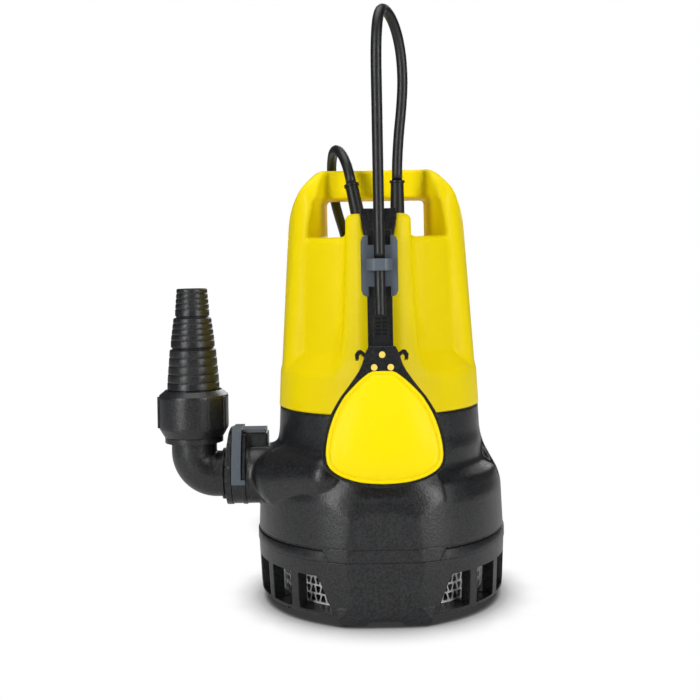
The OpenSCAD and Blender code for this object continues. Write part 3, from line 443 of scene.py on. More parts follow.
# Routes of the cords, the same points as in the CAD source
MAINS_ROUTE = [MAINS_BASE, (-19.3, -31.5, 308.6), (-21.6, -27.2, 316.8), (-24.4, -20.4, 323.2),
               (-27.2, -11.8, 326.9), (-29.6, -2.4, 327.6), (-31.2, 7, 325.4), (-32.2, 15.4, 320.6),
               (-32.6, 22.2, 313.6), (-32.2, 27, 305), (-31.2, 30.6, 296), (-29.6, 35.2, 287),
               (-27, 43, 278), (-24.2, 53, 268.4), (-21.4, 61.6, 257.4), (-17.8, 68, 244.4), (-14, 72, 230),
               (-10, 75.5, 203), (-8, 78, 186), (-6.5, 80.3, 168), (-5.5, 82.7, 145), (-4.5, 86.3, 120),
               (-3.5, 91, 97), (-2.5, 95.5, 76), (-1.5, 98, 58), (-0.5, 99.3, 44), (2.2, 101.4, 29),
               (9.3, 106.4, 16.1), (20, 114, 7.6), (33.5, 123.6, 4.6),
               beyond(COIL_IN, (-1, -1, 0), COIL_LEAD)]
END_ROUTE = [beyond(COIL_OUT, (-1, 1, 0), COIL_LEAD), (34, 303, 27.5), (20, 308.5, 25),
             (4, 312.5, 21.5), (-12, 314.5, 19.2), (-23, 315, 18.6), (-32, 315, 18.6)]
LOOP_ROUTE = [LOOP_BASE, beyond(LOOP_BASE, LOOP_DIR, 5), beyond(LOOP_BASE, LOOP_DIR, 10), (16.2, -42, 332),
              (18.4, -42, 352), (19.6, -43, 372), (18.3, -46, 392), (14.5, -53, 407), (9.5, -62, 415),
              (5, -71, 416), (2, -79, 409), (0.6, -84, 396)]
LOOP_ROUTE += [(0, -CABLE_Y, z) for z in (380, 350, 310, 280, 255, CLIP_TOP)]

# Half outline of a float cover, from its top middle round to its bottom middle
COVER = [(0, 169.4), (6.7, 169.2), (9, 168.2), (12, 166), (14.7, 163.8), (20.1, 158.5), (24.9, 153.1),
         (28.2, 147.8), (31, 142.6), (33.1, 137.3), (34.8, 132), (36, 126.8), (36.8, 121.6), (37, 116.4),
         (36.2, 111.3), (34.6, 108.6), (31.9, 106.1), (27.8, 103.6), (22.8, 101.6), (14, 99.4), (0, 98.4)]


def at_float(points, side=1):
    """Points of the upright float, its mid plane at Y 0, as it hangs with its lean."""
    points = np.asarray(points, np.float64) * (1, side, 1) - (0, 0, PIVOT[2])
    c, s = math.cos(-FLOAT_LEAN), math.sin(-FLOAT_LEAN)
    x, y, z = points.T
    return np.stack([x, y * c - z * s, y * s + z * c], 1) + PIVOT


def coil_route():
    """The stored cord: layers that spiral in and out by turns, the cord climbing between them."""
    turns = COIL_TURNS / COIL_LAYERS
    points = []
    for i in range(int(COIL_TURNS * COIL_POINTS) + 1):
        t = i / COIL_POINTS / turns
        m = t - 2 * math.floor(t / 2)
        radius = COIL_R - COIL_PITCH * turns * (m if m < 1 else 2 - m)
        k = math.floor(t + 0.5)
        d = (t - k) * turns
        level = min(math.floor(t), COIL_LAYERS - 1)
        if 0 < k < COIL_LAYERS and abs(d) < 0.25:    # it climbs over the half turn round the change
            level = k - 0.5 + 2 * d
        a = math.radians(i * 360 / COIL_POINTS + COIL_START)
        points.append((COIL_C[0] + radius * math.cos(a), COIL_C[1] + radius * math.sin(a),
                       COIL_Z + COIL_PITCH * level))
    return points


# ---- materials ----

MATERIALS = {}


class PUMP_OT_materials(bpy.types.Operator):
    """Makes the pump's materials and gives every CAD piece its own"""
    bl_idname = "pump.materials"
    bl_label = "Materials"

    NODE_MATERIALS = {
        "yellow": ("yellow_hood", "float_front_shell", "float_rear_shell"),
        "black": ("pump_housing", "suction_strainer", "prefilter_plate", "suction_plate", "float_rail",
                  "float_frame", "outlet_elbow", "hose_tail", "union_nut", "impeller"),
        "grey": ("cable_slider", "release_clip"),
        "rubber": ("volute_o_ring", "elbow_o_ring", "union_gasket", "shaft_seal", "mains_gland",
                   "float_gland", "float_boot", "mains_plug"),
        "jacket": ("cable_grip", "float_cord_drop", "float_cord_loop", "mains_cord", "mains_coil",
                   "mains_cord_end"),
        "sheet": ("prefilter_mesh",),
        "steel": ("base_screws", "motor_canister", "lower_bearing", "upper_bearing",
                  "motor_shaft", "impeller_nut"),
        "lamination": ("stator_core", "rotor_core"),
        "copper": ("stator_winding",),
        "alloy": ("lower_bracket", "upper_bracket"),
        "white": ("run_capacitor", "tilt_switch"),
        "cream": ("float_rivets",),
        "nickel": ("plug_pins",),
    }

    def execute(self, context):
        looks = context.scene.pump_looks
        grain = looks.grain
        MATERIALS.update({
            # yellow ABS with a satin, finely spark-eroded skin
            "yellow": moulded("yellow_abs", looks.yellow, "#F5DC05", 0.4, 0.9, grain * 1.2, 0.9, 0.05,
                              0.14),
            # glass-filled polypropylene, near black, its grain coarser and deeper than the real one
            "black": moulded("black_polypropylene", looks.black, "#26272A", 0.34, 1.3, grain * 4, 0.9, 0.04,
                             0.52),
            # acetal of the sliding clip and of the release clip
            "grey": moulded("grey_acetal", looks.grey, "#5D656E", 0.4, 0.5, grain * 0.7, 0.6),
            # nitrile and PVC sleeves, seals and the plug
            "rubber": moulded("black_rubber", "#0E0F11", "#17181A", 0.42, 0.8, grain * 1.2, 0.5, 0.06),
            "jacket": cable_jacket("rubber_cable_jacket", looks.cable),
            # bright annealed sheet, satin where it was punched
            "sheet": metal("punched_stainless", "#DCDCDB", "#F0F0EF", 0.55, 1.2, 0.0, (1, 1, 4)),
            "steel": metal("stainless_sheet", "#C2C3C4", "#DADBDB", 0.38, 1.2, 0.3, (1, 1, 6)),
            "lamination": metal("lamination_steel", "#6E6F72", "#86878A", 0.45, 1.0, 0.0, (1, 1, 12)),
            "copper": metal("enamelled_copper", "#A4562B", "#BD6E3C", 0.3, 1.2, 0.0, (1, 1, 8)),
            "alloy": metal("cast_aluminium", "#9A9B9D", "#B0B1B3", 0.5, 0.8, 0.6),
            "white": moulded("white_plastic", "#D9D8D2", "#E6E5E0", 0.45, 0.8, grain, 0.6),
            "cream": moulded("golden_nylon_rivet", "#EAC84C", "#F4DA72", 0.4, 0.5, grain, 0.3),
            "nickel": metal("nickel_plated_brass", "#C9C4B8", "#D8D4CA", 0.18, 2.0, 0.2),
        })
        for key, nodes in self.NODE_MATERIALS.items():
            for name in nodes:
                data = NODES[name].data
                data.materials.clear()
                data.materials.append(MATERIALS[key])
        bare = set(NODES).difference(*self.NODE_MATERIALS.values())
        if bare:
            raise RuntimeError(f"CAD pieces without a material: {sorted(bare)}")
        return {"FINISHED"}


# ---- cords ----

def cable(name, route, sides):
    """A cable swept without twist along a route in millimetres, closed at both ends, its UV running round
    and along; returns it with its path and its length in metres."""
    path = [p * MM for p in route]
    m = len(path)
    slopes = [(path[min(i + 1, m - 1)] - path[max(i - 1, 0)]).normalized() for i in range(m)]
    circle = [(math.cos(a), math.sin(a)) for a in (2 * math.pi * k / sides for k in range(sides))]
    side = slopes[0].orthogonal().normalized()
    points, lengths, run = [], [], 0.0
    for i, (p, t) in enumerate(zip(path, slopes)):
        side = (side - side.dot(t) * t).normalized()
        other = t.cross(side)
        run += (p - path[i - 1]).length if i else 0.0
        lengths.append(run)
        points += [p + CORD_R * MM * (c * side + s * other) for c, s in circle]
    faces = bands(m, sides) + [list(range(sides))[::-1], [(m - 1) * sides + k for k in range(sides)]]
    thing = mesh_object(name, points, faces, MATERIALS["jacket"], scale=1.0)
    layer = thing.data.uv_layers.new(name="along").data
    for face in thing.data.polygons[:(m - 1) * sides]:
        i, k = divmod(face.index, sides)
        for loop, (a, b) in zip(face.loop_indices, ((0, 0), (1, 0), (1, 1), (0, 1))):
            layer[loop].uv = (k + a) / sides, lengths[i + b]
    return thing, path, run


class PUMP_OT_cords(bpy.types.Operator):
    """Builds the mains lead with its stored coil and both stretches of the float cable"""
    bl_idname = "pump.cords"
    bl_label = "Cords"

    def execute(self, context):
        route = MAINS_ROUTE + [COIL_IN] + coil_route() + [COIL_OUT] + END_ROUTE
        lead, path, length = cable("mains_lead", eased(spline(route, 6.0)), 14)
        finished(lead, "pump", "cable_sheath", "mains_cord", "mains_coil", "mains_cord_end")

        loop, path, length = cable("float_cable_loop", eased(spline(LOOP_ROUTE, 4.0)), 16)
        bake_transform(loop)
        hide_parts("float_cord_loop")

        boot_top = tuple(at_float([(0, 0, 206)])[0])
        route = [(0, -CABLE_Y, CLIP_TOP), (0, -CABLE_Y, BAND_Z), (0, -CABLE_Y, PIVOT[2] + 4),
                 (0, -CABLE_Y - 1.1, 224), (0, -CABLE_Y - 3.6, 214.5), boot_top]
        drop = cable("float_cable_drop", spline(route, 2.5), 16)[0]
        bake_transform(drop)
        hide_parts("cable_grip", "float_cord_drop")
        return {"FINISHED"}


# ---- hood ----

# Half depth of the handle's legs at LEG_LOW, which grows up to the hip, where the bar begins to narrow
LEG_HALF, LEG_GROWTH, LEG_LOW, HIP_Z, RECESS_TOP = 28, 0.07, 175, 284, 283
SPINE_FLAT, SPINE_BACK, EAR_BACK = 14.4, 40, 50
FUNNEL_HALF, FUNNEL_FLARE, GLAND_HOLE_R = 10.1, 2.2, 6.1


def turned_body(r, z, inset=0.0):
    """Skirt, sloping ledge and round motor shoulder, shrunk by inset."""
    slope = (HOOD_R - SKIRT_R) / (SKIRT_TOP - SEAM_Z)
    skirt = r + inset - (HOOD_R - slope * (z - SEAM_Z))
    ledge = half_plane(r + inset * 0.6, z + inset * 0.6, (SKIRT_R, SKIRT_TOP),
                       (LEDGE_TOP - LEDGE_Z, SKIRT_R - CAN_R))
    shoulder = rounded(r + inset - CAN_R, z + inset - CAN_TOP, 5.0)
    return melt(rounded(skirt, ledge, 1.6), shoulder, 1.0)


def hood_field(x, y, z):
    """Distance to the yellow hood: turned body, tapered handle with its opening, spine and ears."""
    r, ax, ay = np.hypot(x, y), np.abs(x), np.abs(y)
    body = turned_body(r, z)

    cone = r - (HOOD_R - LEG_TAPER * (z - SEAM_Z))
    corner = np.hypot(ax, np.maximum(z - CORNER_Z, 0)) - CORNER_R - 0.15 * np.maximum(CORNER_Z - z, 0)
    outline = rounded(trim(cone, corner, 3.0), z - TOP_Z, 2.5)
    deep = LEG_HALF + LEG_GROWTH * (np.clip(z, 165, HIP_Z) - LEG_LOW)
    depth = trim(trim(ay - deep, half_plane(ay, z, (LEG_Y + 3, HIP_Z), (23, 9)), 6.0),
                 half_plane(ay, z, (24, TOP_Z - 4), (1, 1)), 4.0)
    handle = rounded(outline, depth, graded(z, (RECESS_TOP, 300), (9.0, 2.5)))

    flare = np.clip(ay / LEG_Y, 0, 1.4) ** 2.2
    width = OPEN_HALF + flare * (50 - 0.156 * (z - 258) - OPEN_HALF)
    mouth = rounded(rounded((ax - width) * 0.86, z - BAR_UNDER, 3.5), CAN_TOP - 0.2 - z, 0.5)
    t = np.clip((ax - 33) / 15, 0, 1)
    set_back = BAR_Y + (LEG_Y - BAR_Y + 3) * t * t * (3 - 2 * t)
    recess = trim((set_back - ay) * 0.75, RECESS_TOP - z, 3.0)
    handle = trim(trim(handle, -mouth, 2.0), -recess, 3.0)

    half = np.interp(z, (SEAM_Z, 168, 174, 185, 245, SPINE_TOP), (34, 31.5, 28.5, 26, 22.9, 22.4))
    front = trim(-SPINE_Y - y, half_plane(ax, -y, (SPINE_FLAT, SPINE_Y), (3.2, 6.1)), 1.5)
    plan = trim(front, ax - half, 3.0)
    ears = rounded(trim(plan, y + EAR_BACK, 4.0), z - SPINE_TOP, 5.0)
    spine = common(np.where(z < CAN_TOP - 8, plan, ears), y + SPINE_BACK)
    soft = graded(z, (163, 176, 190, 206), (3.5, 9.0, 11.0, 4.0))
    form = melt(melt(body, handle, 2.4), spine, soft)

    flared = FUNNEL_HALF + FUNNEL_FLARE * np.clip((z - CAN_TOP) / 15, 0, 1)
    funnel = common(ax - flared, CAN_TOP + 0.4 - z, y + SPINE_Y - 8)
    seat = common(ax - RAIL_W / 2 + 2, y + SPINE_Y - 2, RAIL_LOW - z, z - CAN_TOP)
    glands = either(np.hypot(x - MAINS_X, y - GLAND_Y), np.hypot(x - FLOAT_X, y - GLAND_Y))
    glands = common(glands - GLAND_HOLE_R, CAN_TOP - 12 - z)
    form = trim(form, -either(funnel, seat, glands), 0.6)
    return trim(common(form, -turned_body(r, z, WALL + 0.8)), SEAM_Z + 0.15 - z, 0.8)


class PUMP_OT_hood(bpy.types.Operator):
    """Builds the yellow hood with its handle, spine and ears as one rounded moulding"""
    bl_idname = "pump.hood"
    bl_label = "Hood"

    def execute(self, context):
        hood = moulding("hood_moulding", hood_field, (-76, -76, 137), (76, 76, 314), 1.45,
                        MATERIALS["yellow"])
        finished(hood, "pump", "yellow_plastic", "yellow_hood")
        return {"FINISHED"}


# ---- housing ----

DRUM_R, DRUM_LOW, DRUM_TAPER, COLUMN_R, COLUMN_LOW = 90, 51, 0.036, 74.4, 113
POCKETS, POCKET_HALF = (-36, 36, 144), 26    # angles of the shoulder's pockets, in degrees
CHAMBER_R, CHAMBER_TOP, MOTOR_R, MOTOR_LOW, PIPE_BORE = 66.5, 104, 71, 107, 16.8
# Where the CAD's strip and socket are cut off, and how far the moulding runs on into each
STRIP_Z, STRIP_LAP, SOCKET_X, SOCKET_LAP = 52, 0.4, -95, 0.6
PIPE_IN = -60    # the pipe is drawn only left of this
RAMP_HALF, RAMP_X, RAMP_H = 8.5, -82, 30.4
# Both ends of the volute's swell, each its place and its radius
SWELL = ((-70, -36, OUT_Z + 1.5, PIPE_R - 1.5), (-39, -65, OUT_Z + 7, PIPE_R - 7))


def housing_field(x, y, z):
    """Distance to the housing above its raised strip: drum, shoulder with its pockets, motor column,
    facet, outlet pipe with the volute's swell that feeds it, and the locking clip's ramp, hollow inside."""
    r = np.hypot(x, y)
    drum = rounded(r - (DRUM_R - DRUM_TAPER * np.maximum(z - DRUM_LOW, 0)),
                   half_plane(r, z, (87.5, 89.2), (24.1, 13.1)), 3.0)
    form = melt(drum, r - graded(z, (COLUMN_LOW, SEAM_Z), (COLUMN_R, HOOD_R)), 5.0)
    angle = np.degrees(np.arctan2(y, x))
    for middle in POCKETS:
        away = np.abs((angle - middle + 180) % 360 - 180)
        side = r * np.sin(np.radians(np.minimum(away - POCKET_HALF, 90)))
        floor = -trim(half_plane(r, z, (75.2, 101.2), (7.9, 10.3)),
                      half_plane(r, z, (85.5, 93.3), (10.8, 3.1)), 1.0)
        form = trim(form, -trim(trim(floor, 75.3 - r, 2.5), side, 1.5), 0.8)
    form = trim(form, -FACET_Y - y, graded(z, (72, 84), (0.35, 8)))
    pipe = np.hypot(y - OUT_Y, z - OUT_Z)
    ramp = rounded(common(np.abs(y - OUT_Y) - RAMP_HALF, x - RAMP_X), z - OUT_Z - RAMP_H, 1.0)
    duct = melt(tapered_bar(x, y, z, *SWELL), common(pipe - PIPE_R, x - PIPE_IN), 6.0)
    form = melt(form, duct, graded(z, (92, 106), (0.6, 5.0)))
    form = either(form, common(ramp, x - PIPE_IN, OUT_Z + 10 - z))
    hollow = either(common(r - CHAMBER_R, z - CHAMBER_TOP), common(r - MOTOR_R, MOTOR_LOW - z),
                    common(pipe - PIPE_BORE, x - PIPE_IN))
    return common(form, -hollow, z - SEAM_Z + 0.1, STRIP_Z - STRIP_LAP - z, SOCKET_X - SOCKET_LAP - x)


class PUMP_OT_housing(bpy.types.Operator):
    """Builds the black housing: a rounded moulding joined to the crisp strip, collar and socket"""
    bl_idname = "pump.housing"
    bl_label = "Housing"

    def cut(self, name, planes):
        """The CAD housing's mesh behind each plane, given as (place in millimetres, normal)."""
        work = bmesh.new()
        work.from_mesh(NODES["pump_housing"].data)
        bmesh.ops.remove_doubles(work, verts=work.verts[:], dist=WELD)
        for place, normal in planes:
            made = bmesh.ops.bisect_plane(work, geom=work.verts[:] + work.edges[:] + work.faces[:],
                                          plane_co=Vector(place) * MM, plane_no=normal, clear_outer=True)
            rim = [part for part in made["geom_cut"] if isinstance(part, bmesh.types.BMEdge)]
            bmesh.ops.triangle_fill(work, edges=rim, use_beauty=True, normal=normal)
        mesh = bpy.data.meshes.new(name)
        work.to_mesh(mesh)
        work.free()
        mesh.materials.append(MATERIALS["black"])
        return placed(name, mesh)

    def execute(self, context):
        housing = moulding("housing_moulding", housing_field, (-98, -92, 49), (93, 93, 142), 1.4,
                           MATERIALS["black"])
        strip = self.cut("strip", [((0, 0, STRIP_Z), (0, 0, 1))])
        socket = self.cut("socket", [((0, 0, STRIP_Z), (0, 0, -1)), ((SOCKET_X, 0, 0), (1, 0, 0))])
        join(housing, [strip, socket])
        finished(housing, "pump", "black_plastic", "pump_housing")
        return {"FINISHED"}


# ---- float covers ----

def closed_outline(half, step):
    """Closed smooth outline, clockwise from its right half, with a point about every step, as (x, z)."""
    ring = [(x, 0.0, z) for x, z in half + [(-x, z) for x, z in half[-2:0:-1]]]
    whole = spline(ring[-2:] + ring + ring[:3], step)
    starts = [i for i, p in enumerate(whole) if (p - Vector(ring[0])).length < 1e-6]
    return np.array([(p.x, p.z) for p in whole[starts[0]:starts[-1]]])


class PUMP_OT_float_covers(bpy.types.Operator):
    """Builds the two domed covers of the float with their lip, groove and raised plate"""
    bl_idname = "pump.float_covers"
    bl_label = "Float Covers"

    # inset from the cover's outline and height above the float's mid plane, as stations of the section
    RIM = [(0.0, 8.0), (0.0, 11.9), (0.35, 12.5), (1.0, 12.8), (1.7, 12.75), (2.1, 12.4), (2.4, 12.6),
           (2.9, 13.3), (3.8, 13.9)]
    DOME_R, DOME_TOP, DOME_Z, DOME_RINGS = 150, 18.5, 128.0, 12

    def execute(self, context):
        outline = closed_outline(COVER, 2.4)
        run = np.roll(outline, -1, 0) - np.roll(outline, 1, 0)
        inward = np.stack([run[:, 1], -run[:, 0]], 1) / np.linalg.norm(run, axis=1)[:, None]
        middle = np.array((0.0, self.DOME_Z))
        rings = [np.insert(outline + inward * inset, 1, -height, axis=1) for inset, height in self.RIM]
        edge = outline + inward * self.RIM[-1][0]
        for k in range(1, self.DOME_RINGS):
            t = 1 - k / self.DOME_RINGS
            flat = middle + (edge - middle) * t
            reach = np.linalg.norm(flat - middle, axis=1)
            dome = self.DOME_TOP - (self.DOME_R - np.sqrt(self.DOME_R ** 2 - reach ** 2))
            lift = np.minimum(1, (1 - t) * 3) ** 0.5
            rings.append(np.insert(flat, 1, -(self.RIM[-1][1] * (1 - lift) + dome * lift), axis=1))
        n, last = len(outline), len(rings) - 1
        points = np.concatenate(rings + [np.array([(0.0, -self.DOME_TOP, self.DOME_Z)])])
        faces = bands(len(rings), n)
        faces += [[last * n + k, last * n + (k + 1) % n, len(rings) * n] for k in range(n)]
        faces.append(list(range(n))[::-1])
        for name, side, node in (("float_cover_front", 1, "float_front_shell"),
                                 ("float_cover_rear", -1, "float_rear_shell")):
            cover = mesh_object(name, at_float(points, side), faces, MATERIALS["yellow"])
            cleaned(cover, 50)
            finished(cover, "float", "yellow_plastic", node)
        return {"FINISHED"}


# ---- outlet ----

class PUMP_OT_hose_tail(bpy.types.Operator):
    """Builds the stepped hose tail with its rounded rings"""
    bl_idname = "pump.hose_tail"
    bl_label = "Hose Tail"

    BORE, LAND, RINGS, FLANGE_R, FLANGE_H, NECK_R = 9.5, 5.0, 4, 20.3, 3.15, 18.4
    FLANGE, FOOT = NUT_LOW + 26.05, NUT_LOW + NUT_H + 0.6
    # a ring's section, as inset from the step's radius and rise from the ring's foot
    RING = [(0.02, -0.35), (0.16, -0.1), (0.5, 0.1), (0.55, 0.4), (0.3, 0.75), (0.2, 1.2)]
    # radius at the foot, radius at the end, foot and end of each step
    STEPS = [(19.0, 16.9, FOOT, FOOT + 29.2), (16.0, 13.8, FOOT + 30.7, FOOT + 52.3),
             (12.5, 11.2, FOOT + 53.5, FOOT + 73.7)]

    def ring_profile(self, foot, top, low, high):
        """Outline of one step: the plain land, then shallow rings with rounded shoulders."""
        points = [(foot - 0.4, low), (foot, low + 0.4)]
        pitch = (high - low - self.LAND) / self.RINGS
        for k in range(self.RINGS):
            a = low + self.LAND + k * pitch
            r = foot - (foot - top) * k / self.RINGS
            points += [(r - inset, a + rise) for inset, rise in self.RING]
            points.append((r - (foot - top) / self.RINGS, a + pitch - 0.5))
        return points + [(top - 0.3, high - 0.3), (top - 0.9, high)]

    def execute(self, context):
        ledge = self.FLANGE + self.FLANGE_H
        profile = [(self.BORE, self.FLANGE), (self.FLANGE_R, self.FLANGE), (self.FLANGE_R, ledge),
                   (self.NECK_R, ledge), (self.NECK_R, self.FOOT)]
        for (foot, top, low, high), neck in zip(self.STEPS, (15.0, 11.7, None)):
            profile += self.ring_profile(foot, top, low, high)
            if neck:
                profile += [(neck + 0.3, high + 0.2), (neck, high + 0.6)]
        end = self.STEPS[-1][3]
        profile += [(self.BORE + 0.7, end), (self.BORE, end - 0.6)]
        points, faces = lathe(profile, 128, (-ELBOW_X, OUT_Y, 0))
        tail = mesh_object("stepped_hose_tail", points, faces, MATERIALS["black"])
        cleaned(tail, 40)
        finished(tail, "elbow", "black_plastic", "hose_tail")
        return {"FINISHED"}


# ---- prefilter ----

def perforation_tree():
    """Geometry Nodes: repeats one perforated cell round the sheet, every other column turned over."""
    tree = bpy.data.node_groups.new("perforated_sheet", "GeometryNodeTree")
    face = tree.interface
    face.new_socket("Geometry", in_out="INPUT", socket_type="NodeSocketGeometry")
    for name, kind in (("Round", "Int"), ("Rows", "Int"), ("Radius", "Float"), ("Foot", "Float"),
                       ("Row Pitch", "Float"), ("Material", "Material")):
        face.new_socket(name, in_out="INPUT", socket_type="NodeSocket" + kind)
    face.new_socket("Geometry", in_out="OUTPUT", socket_type="NodeSocketGeometry")
    given = add(tree, "NodeGroupInput").outputs

    def calc(operation, *values):
        return first(tree, "ShaderNodeMath", dict(enumerate(values)), operation=operation)

    def make(kind, **inputs):
        return first(tree, kind, inputs)

    index = make("GeometryNodeInputIndex")
    column = calc("MODULO", index, given["Round"])
    row = calc("FLOOR", calc("DIVIDE", index, given["Round"]))
    angle = calc("MULTIPLY", calc("DIVIDE", column, given["Round"]), 2 * math.pi)
    place = make("ShaderNodeCombineXYZ", X=calc("MULTIPLY", calc("COSINE", angle), given["Radius"]),
                 Y=calc("MULTIPLY", calc("SINE", angle), given["Radius"]),
                 Z=calc("ADD", calc("MULTIPLY", row, given["Row Pitch"]), given["Foot"]))
    total = calc("MULTIPLY", given["Round"], given["Rows"])
    spots = make("GeometryNodePoints", Count=total, Position=place)
    cells = make("GeometryNodeInstanceOnPoints", Points=spots, Instance=given["Geometry"],
                 Rotation=make("ShaderNodeCombineXYZ", Z=angle))
    flip = calc("MULTIPLY", calc("MODULO", column, 2.0), math.pi)
    turned = make("GeometryNodeRotateInstances", Instances=cells,
                  Rotation=make("ShaderNodeCombineXYZ", X=flip))
    real = make("GeometryNodeRealizeInstances", Geometry=turned)
    joined = make("GeometryNodeMergeByDistance", Geometry=real, Distance=2 * MERGE)
    dressed = make("GeometryNodeSetMaterial", Geometry=joined, Material=given["Material"])
    add(tree, "NodeGroupOutput", {"Geometry": dressed})
    return tree


def run_tree(thing, tree, values):
    """Runs a Geometry Nodes group on an object, inputs set by name, and keeps the result as its mesh."""
    modifier = thing.modifiers.new(tree.name, "NODES")
    modifier.node_group = tree
    keys = {item.name: item.identifier for item in tree.interface.items_tree if item.in_out == "INPUT"}
    for name, value in values.items():
        modifier[keys[name]] = value
    thing.data.update_tag()
    graph = bpy.context.evaluated_depsgraph_get()
    mesh = bpy.data.meshes.new_from_object(thing.evaluated_get(graph), depsgraph=graph)
    thing.modifiers.clear()
    thing.data = mesh


class PUMP_OT_prefilter(bpy.types.Operator):
    """Builds the perforated sheet of the prefilter behind the strainer's columns"""
    bl_idname = "pump.prefilter"
    bl_label = "Prefilter"

    RADIUS, THICK, LOW, HIGH, FOOT, HEAD = 74.0, 0.6, 7.4, 39.8, 9.6, 38.1
    # half widths of a cell's foot and head and of the web beside its opening, as shares of its width
    FOOT_SHARE, HEAD_SHARE, WEB_SHARE = 0.67, 0.33, 0.12
    LAND, CORNER = 0.5, 1.4    # half the web between rows, and how far a corner is rounded

    def cell(self, width, height):
        """One cell of the sheet: a trapezium round an opening with rounded corners, bent to the radius."""
        foot, head, web = self.FOOT_SHARE * width, self.HEAD_SHARE * width, self.WEB_SHARE * width
        half = height / 2
        tips = [Vector(p) for p in ((web - foot, self.LAND - half, 0), (foot - web, self.LAND - half, 0),
                                    (head - web, half - self.LAND, 0), (web - head, half - self.LAND, 0))]
        hole = []
        for i, tip in enumerate(tips):
            before, after = tips[i - 1] - tip, tips[(i + 1) % 4] - tip
            cut = min(self.CORNER, 0.48 * before.length, 0.48 * after.length)
            start, stop = tip + before.normalized() * cut, tip + after.normalized() * cut
            hole += [start * (1 - t) ** 2 + tip * (2 * t * (1 - t)) + stop * t * t
                     for t in (0, 1 / 3, 2 / 3, 1)]
        # the two middle points of the foot meet the corners of the cells in the next row
        rim = [Vector(p) for p in ((-foot, -half, 0), (-head, -half, 0), (head, -half, 0),
                                   (foot, -half, 0), (head, half, 0), (-head, half, 0))]
        tris = tessellate_polygon([rim, hole[::-1]])
        loops = rim + hole[::-1]
        n, edge = len(loops), len(rim)
        if len(tris) != n:
            raise RuntimeError(f"the prefilter's cell has {len(tris)} faces, not {n}")
        points = [(radius * math.cos(p.x / self.RADIUS) - self.RADIUS,
                   radius * math.sin(p.x / self.RADIUS), p.y)
                  for radius in (self.RADIUS, self.RADIUS - self.THICK) for p in loops]
        faces = []
        for a, b, c in tris:
            pa, pb, pc = loops[a], loops[b], loops[c]
            if (pb - pa).cross(pc - pa).z < 0:
                b, c = c, b
            faces += [[a, b, c], [n + a, n + c, n + b]]
        m = len(hole)
        faces += [[edge + k, edge + (k + 1) % m, n + edge + (k + 1) % m, n + edge + k]
                  for k in range(m)]
        return points, faces

    def execute(self, context):
        looks = context.scene.pump_looks
        width = 2 * math.pi * self.RADIUS / looks.holes_round
        pitch = (self.HEAD - self.FOOT) / looks.hole_rows
        points, faces = self.cell(width, pitch)
        sheet = mesh_object("prefilter_sheet", points, faces, MATERIALS["sheet"], smooth=False)
        run_tree(sheet, perforation_tree(), {
            "Round": looks.holes_round, "Rows": looks.hole_rows, "Radius": self.RADIUS * MM,
            "Foot": (self.FOOT + pitch / 2) * MM, "Row Pitch": pitch * MM, "Material": MATERIALS["sheet"]})
        work = bmesh.new()
        work.from_mesh(sheet.data)
        open_edges = [edge for edge in work.edges if edge.is_boundary]
        middle = (self.FOOT + self.HEAD) / 2 * MM
        for above in (False, True):
            ends = [edge for edge in open_edges if (edge.verts[0].co.z > middle) == above]
            bmesh.ops.bridge_loops(work, edges=ends)
        work.to_mesh(sheet.data)
        work.free()
        rims = []
        for low, high in ((self.LOW, self.FOOT), (self.HEAD, self.HIGH)):
            profile = [(self.RADIUS - self.THICK, low), (self.RADIUS, low), (self.RADIUS, high),
                       (self.RADIUS - self.THICK, high)]
            rims.append(mesh_object("rim", *lathe(profile, looks.holes_round), MATERIALS["sheet"]))
        join(sheet, rims)
        finished(sheet, "pump", "stainless_steel", "prefilter_mesh")
        return {"FINISHED"}


# ---- stage ----

def white_for_camera(tree, seen, lit):
    """Mixes a shader that the camera sees with one that lights the scene."""
    path = add(tree, "ShaderNodeLightPath")
    return first(tree, "ShaderNodeMixShader", {0: path.outputs["Is Camera Ray"], 1: lit, 2: seen})


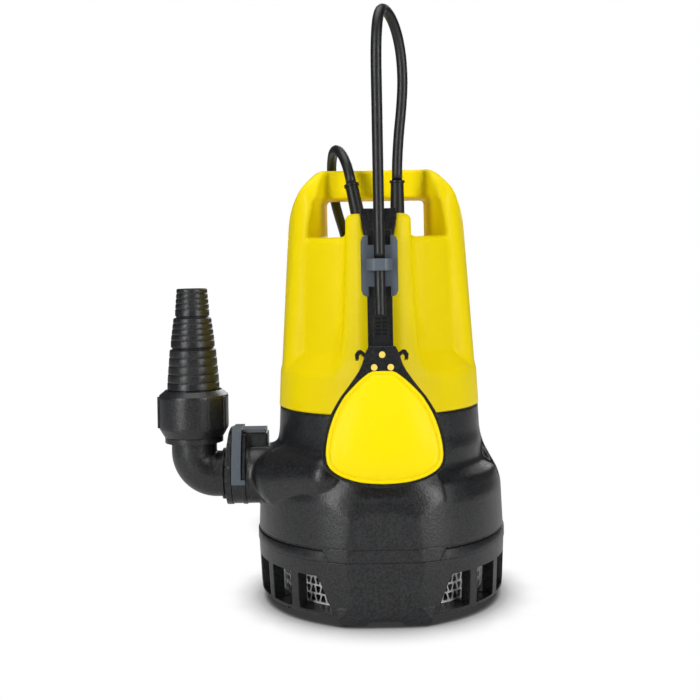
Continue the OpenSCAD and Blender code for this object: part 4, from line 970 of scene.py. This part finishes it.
class PUMP_OT_stage(bpy.types.Operator):
    """Sets the floor, the lights and the camera"""
    bl_idname = "pump.stage"
    bl_label = "Stage and Camera"

    FLOOR_HALF, FLOOR_Z = 6, -0.0003    # the floor lies just below the pump's foot
    SHADOW_REACH, WORLD_LIGHT = 0.042, 0.085

    def lamp(self, name, place, aim_z, size, power):
        """A softbox that faces the point on the pump's axis at height aim_z."""
        light = bpy.data.lights.new(name, "AREA")
        light.shape = "RECTANGLE"
        light.size, light.size_y = size
        light.energy = power
        thing = placed(name, light)
        thing.location = place
        thing.rotation_euler = (Vector((0, 0, aim_z)) - Vector(place)).to_track_quat("-Z", "Y").to_euler()

    def execute(self, context):
        scene, shot = context.scene, context.scene.pump_view
        material = bpy.data.materials.new("pale_floor")
        tree = empty_tree(material)
        lit = first(tree, "ShaderNodeBsdfDiffuse", {"Color": srgb("#EDEDED")})
        # painted shadow: the camera sees the floor as a glow that ambient occlusion darkens near the pump
        near = add(tree, "ShaderNodeAmbientOcclusion", {"Distance": self.SHADOW_REACH}, samples=16)
        painted_floor_shadow = spread(tree, near.outputs["AO"], 0.04, 1.0, 0.3, 0.93)
        seen = first(tree, "ShaderNodeEmission", {"Strength": painted_floor_shadow})
        add(tree, "ShaderNodeOutputMaterial", {"Surface": white_for_camera(tree, seen, lit)})
        corners = [(self.FLOOR_HALF * i, self.FLOOR_HALF * j, self.FLOOR_Z)
                   for i, j in ((-1, -1), (1, -1), (1, 1), (-1, 1))]
        floor = mesh_object("floor", corners, [[0, 1, 2, 3]], material, scale=1.0)

        scene.world = bpy.data.worlds.new("studio")
        tree = empty_tree(scene.world)
        seen, lit = (first(tree, "ShaderNodeBackground", {"Color": (1, 1, 1, 1), "Strength": power})
                     for power in (1.0, self.WORLD_LIGHT))
        add(tree, "ShaderNodeOutputWorld", {"Surface": white_for_camera(tree, seen, lit)})

        self.lamp("left_softbox", (-0.87, -1.035, 0.55), 0.17, (0.34, 1.2), shot.key)
        self.lamp("right_softbox", (0.97, -0.965, 0.5), 0.16, (0.34, 1.2), shot.fill)
        self.lamp("top", (-0.1, -0.1, 1.5), 0.15, (1.1, 1.1), 9.5)
        self.lamp("back_softbox", (0.35, 1.35, 0.8), 0.17, (0.9, 0.9), 9)

        camera = bpy.data.cameras.new("camera")
        camera.lens = shot.lens
        camera.sensor_width = 36.0
        camera.shift_y = shot.shift
        camera.clip_start = 0.05
        camera.clip_end = 30
        eye = placed("camera", camera)
        eye.matrix_world = (Matrix.Translation((shot.side, -shot.distance, shot.height))
                            @ Matrix.Rotation(math.pi / 2, 4, "X")
                            @ Matrix.Rotation(shot.roll, 4, "Z"))
        scene.camera = eye
        scene.render.resolution_x = scene.render.resolution_y = 700
        scene.view_settings.view_transform = "Standard"
        return {"FINISHED"}


# ---- panel and start ----

STEPS = (PUMP_OT_stage, PUMP_OT_materials, PUMP_OT_cords, PUMP_OT_hood, PUMP_OT_housing,
         PUMP_OT_float_covers, PUMP_OT_hose_tail, PUMP_OT_prefilter)


class PUMP_PT_dresser(bpy.types.Panel):
    """Lists the steps that dress the pump"""
    bl_idname = "PUMP_PT_dresser"
    bl_label = "Pump"
    bl_space_type = "VIEW_3D"
    bl_region_type = "UI"
    bl_category = "Pump"

    def draw(self, context):
        for step in STEPS:
            self.layout.operator(step.bl_idname)
        for group in (context.scene.pump_looks, context.scene.pump_view):
            for name in group.__annotations__:
                self.layout.prop(group, name)


CLASSES = (PumpLooks, PumpView) + STEPS + (PUMP_PT_dresser,)


def register():
    for kind in CLASSES:
        bpy.utils.register_class(kind)
    bpy.types.Scene.pump_looks = PointerProperty(type=PumpLooks)
    bpy.types.Scene.pump_view = PointerProperty(type=PumpView)


def unregister():
    del bpy.types.Scene.pump_view
    del bpy.types.Scene.pump_looks
    for kind in reversed(CLASSES):
        bpy.utils.unregister_class(kind)


def main():
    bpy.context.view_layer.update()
    register()
    for step in STEPS:
        getattr(bpy.ops.pump, step.bl_idname.split(".")[1])()


if __name__ == "__main__":
    main()
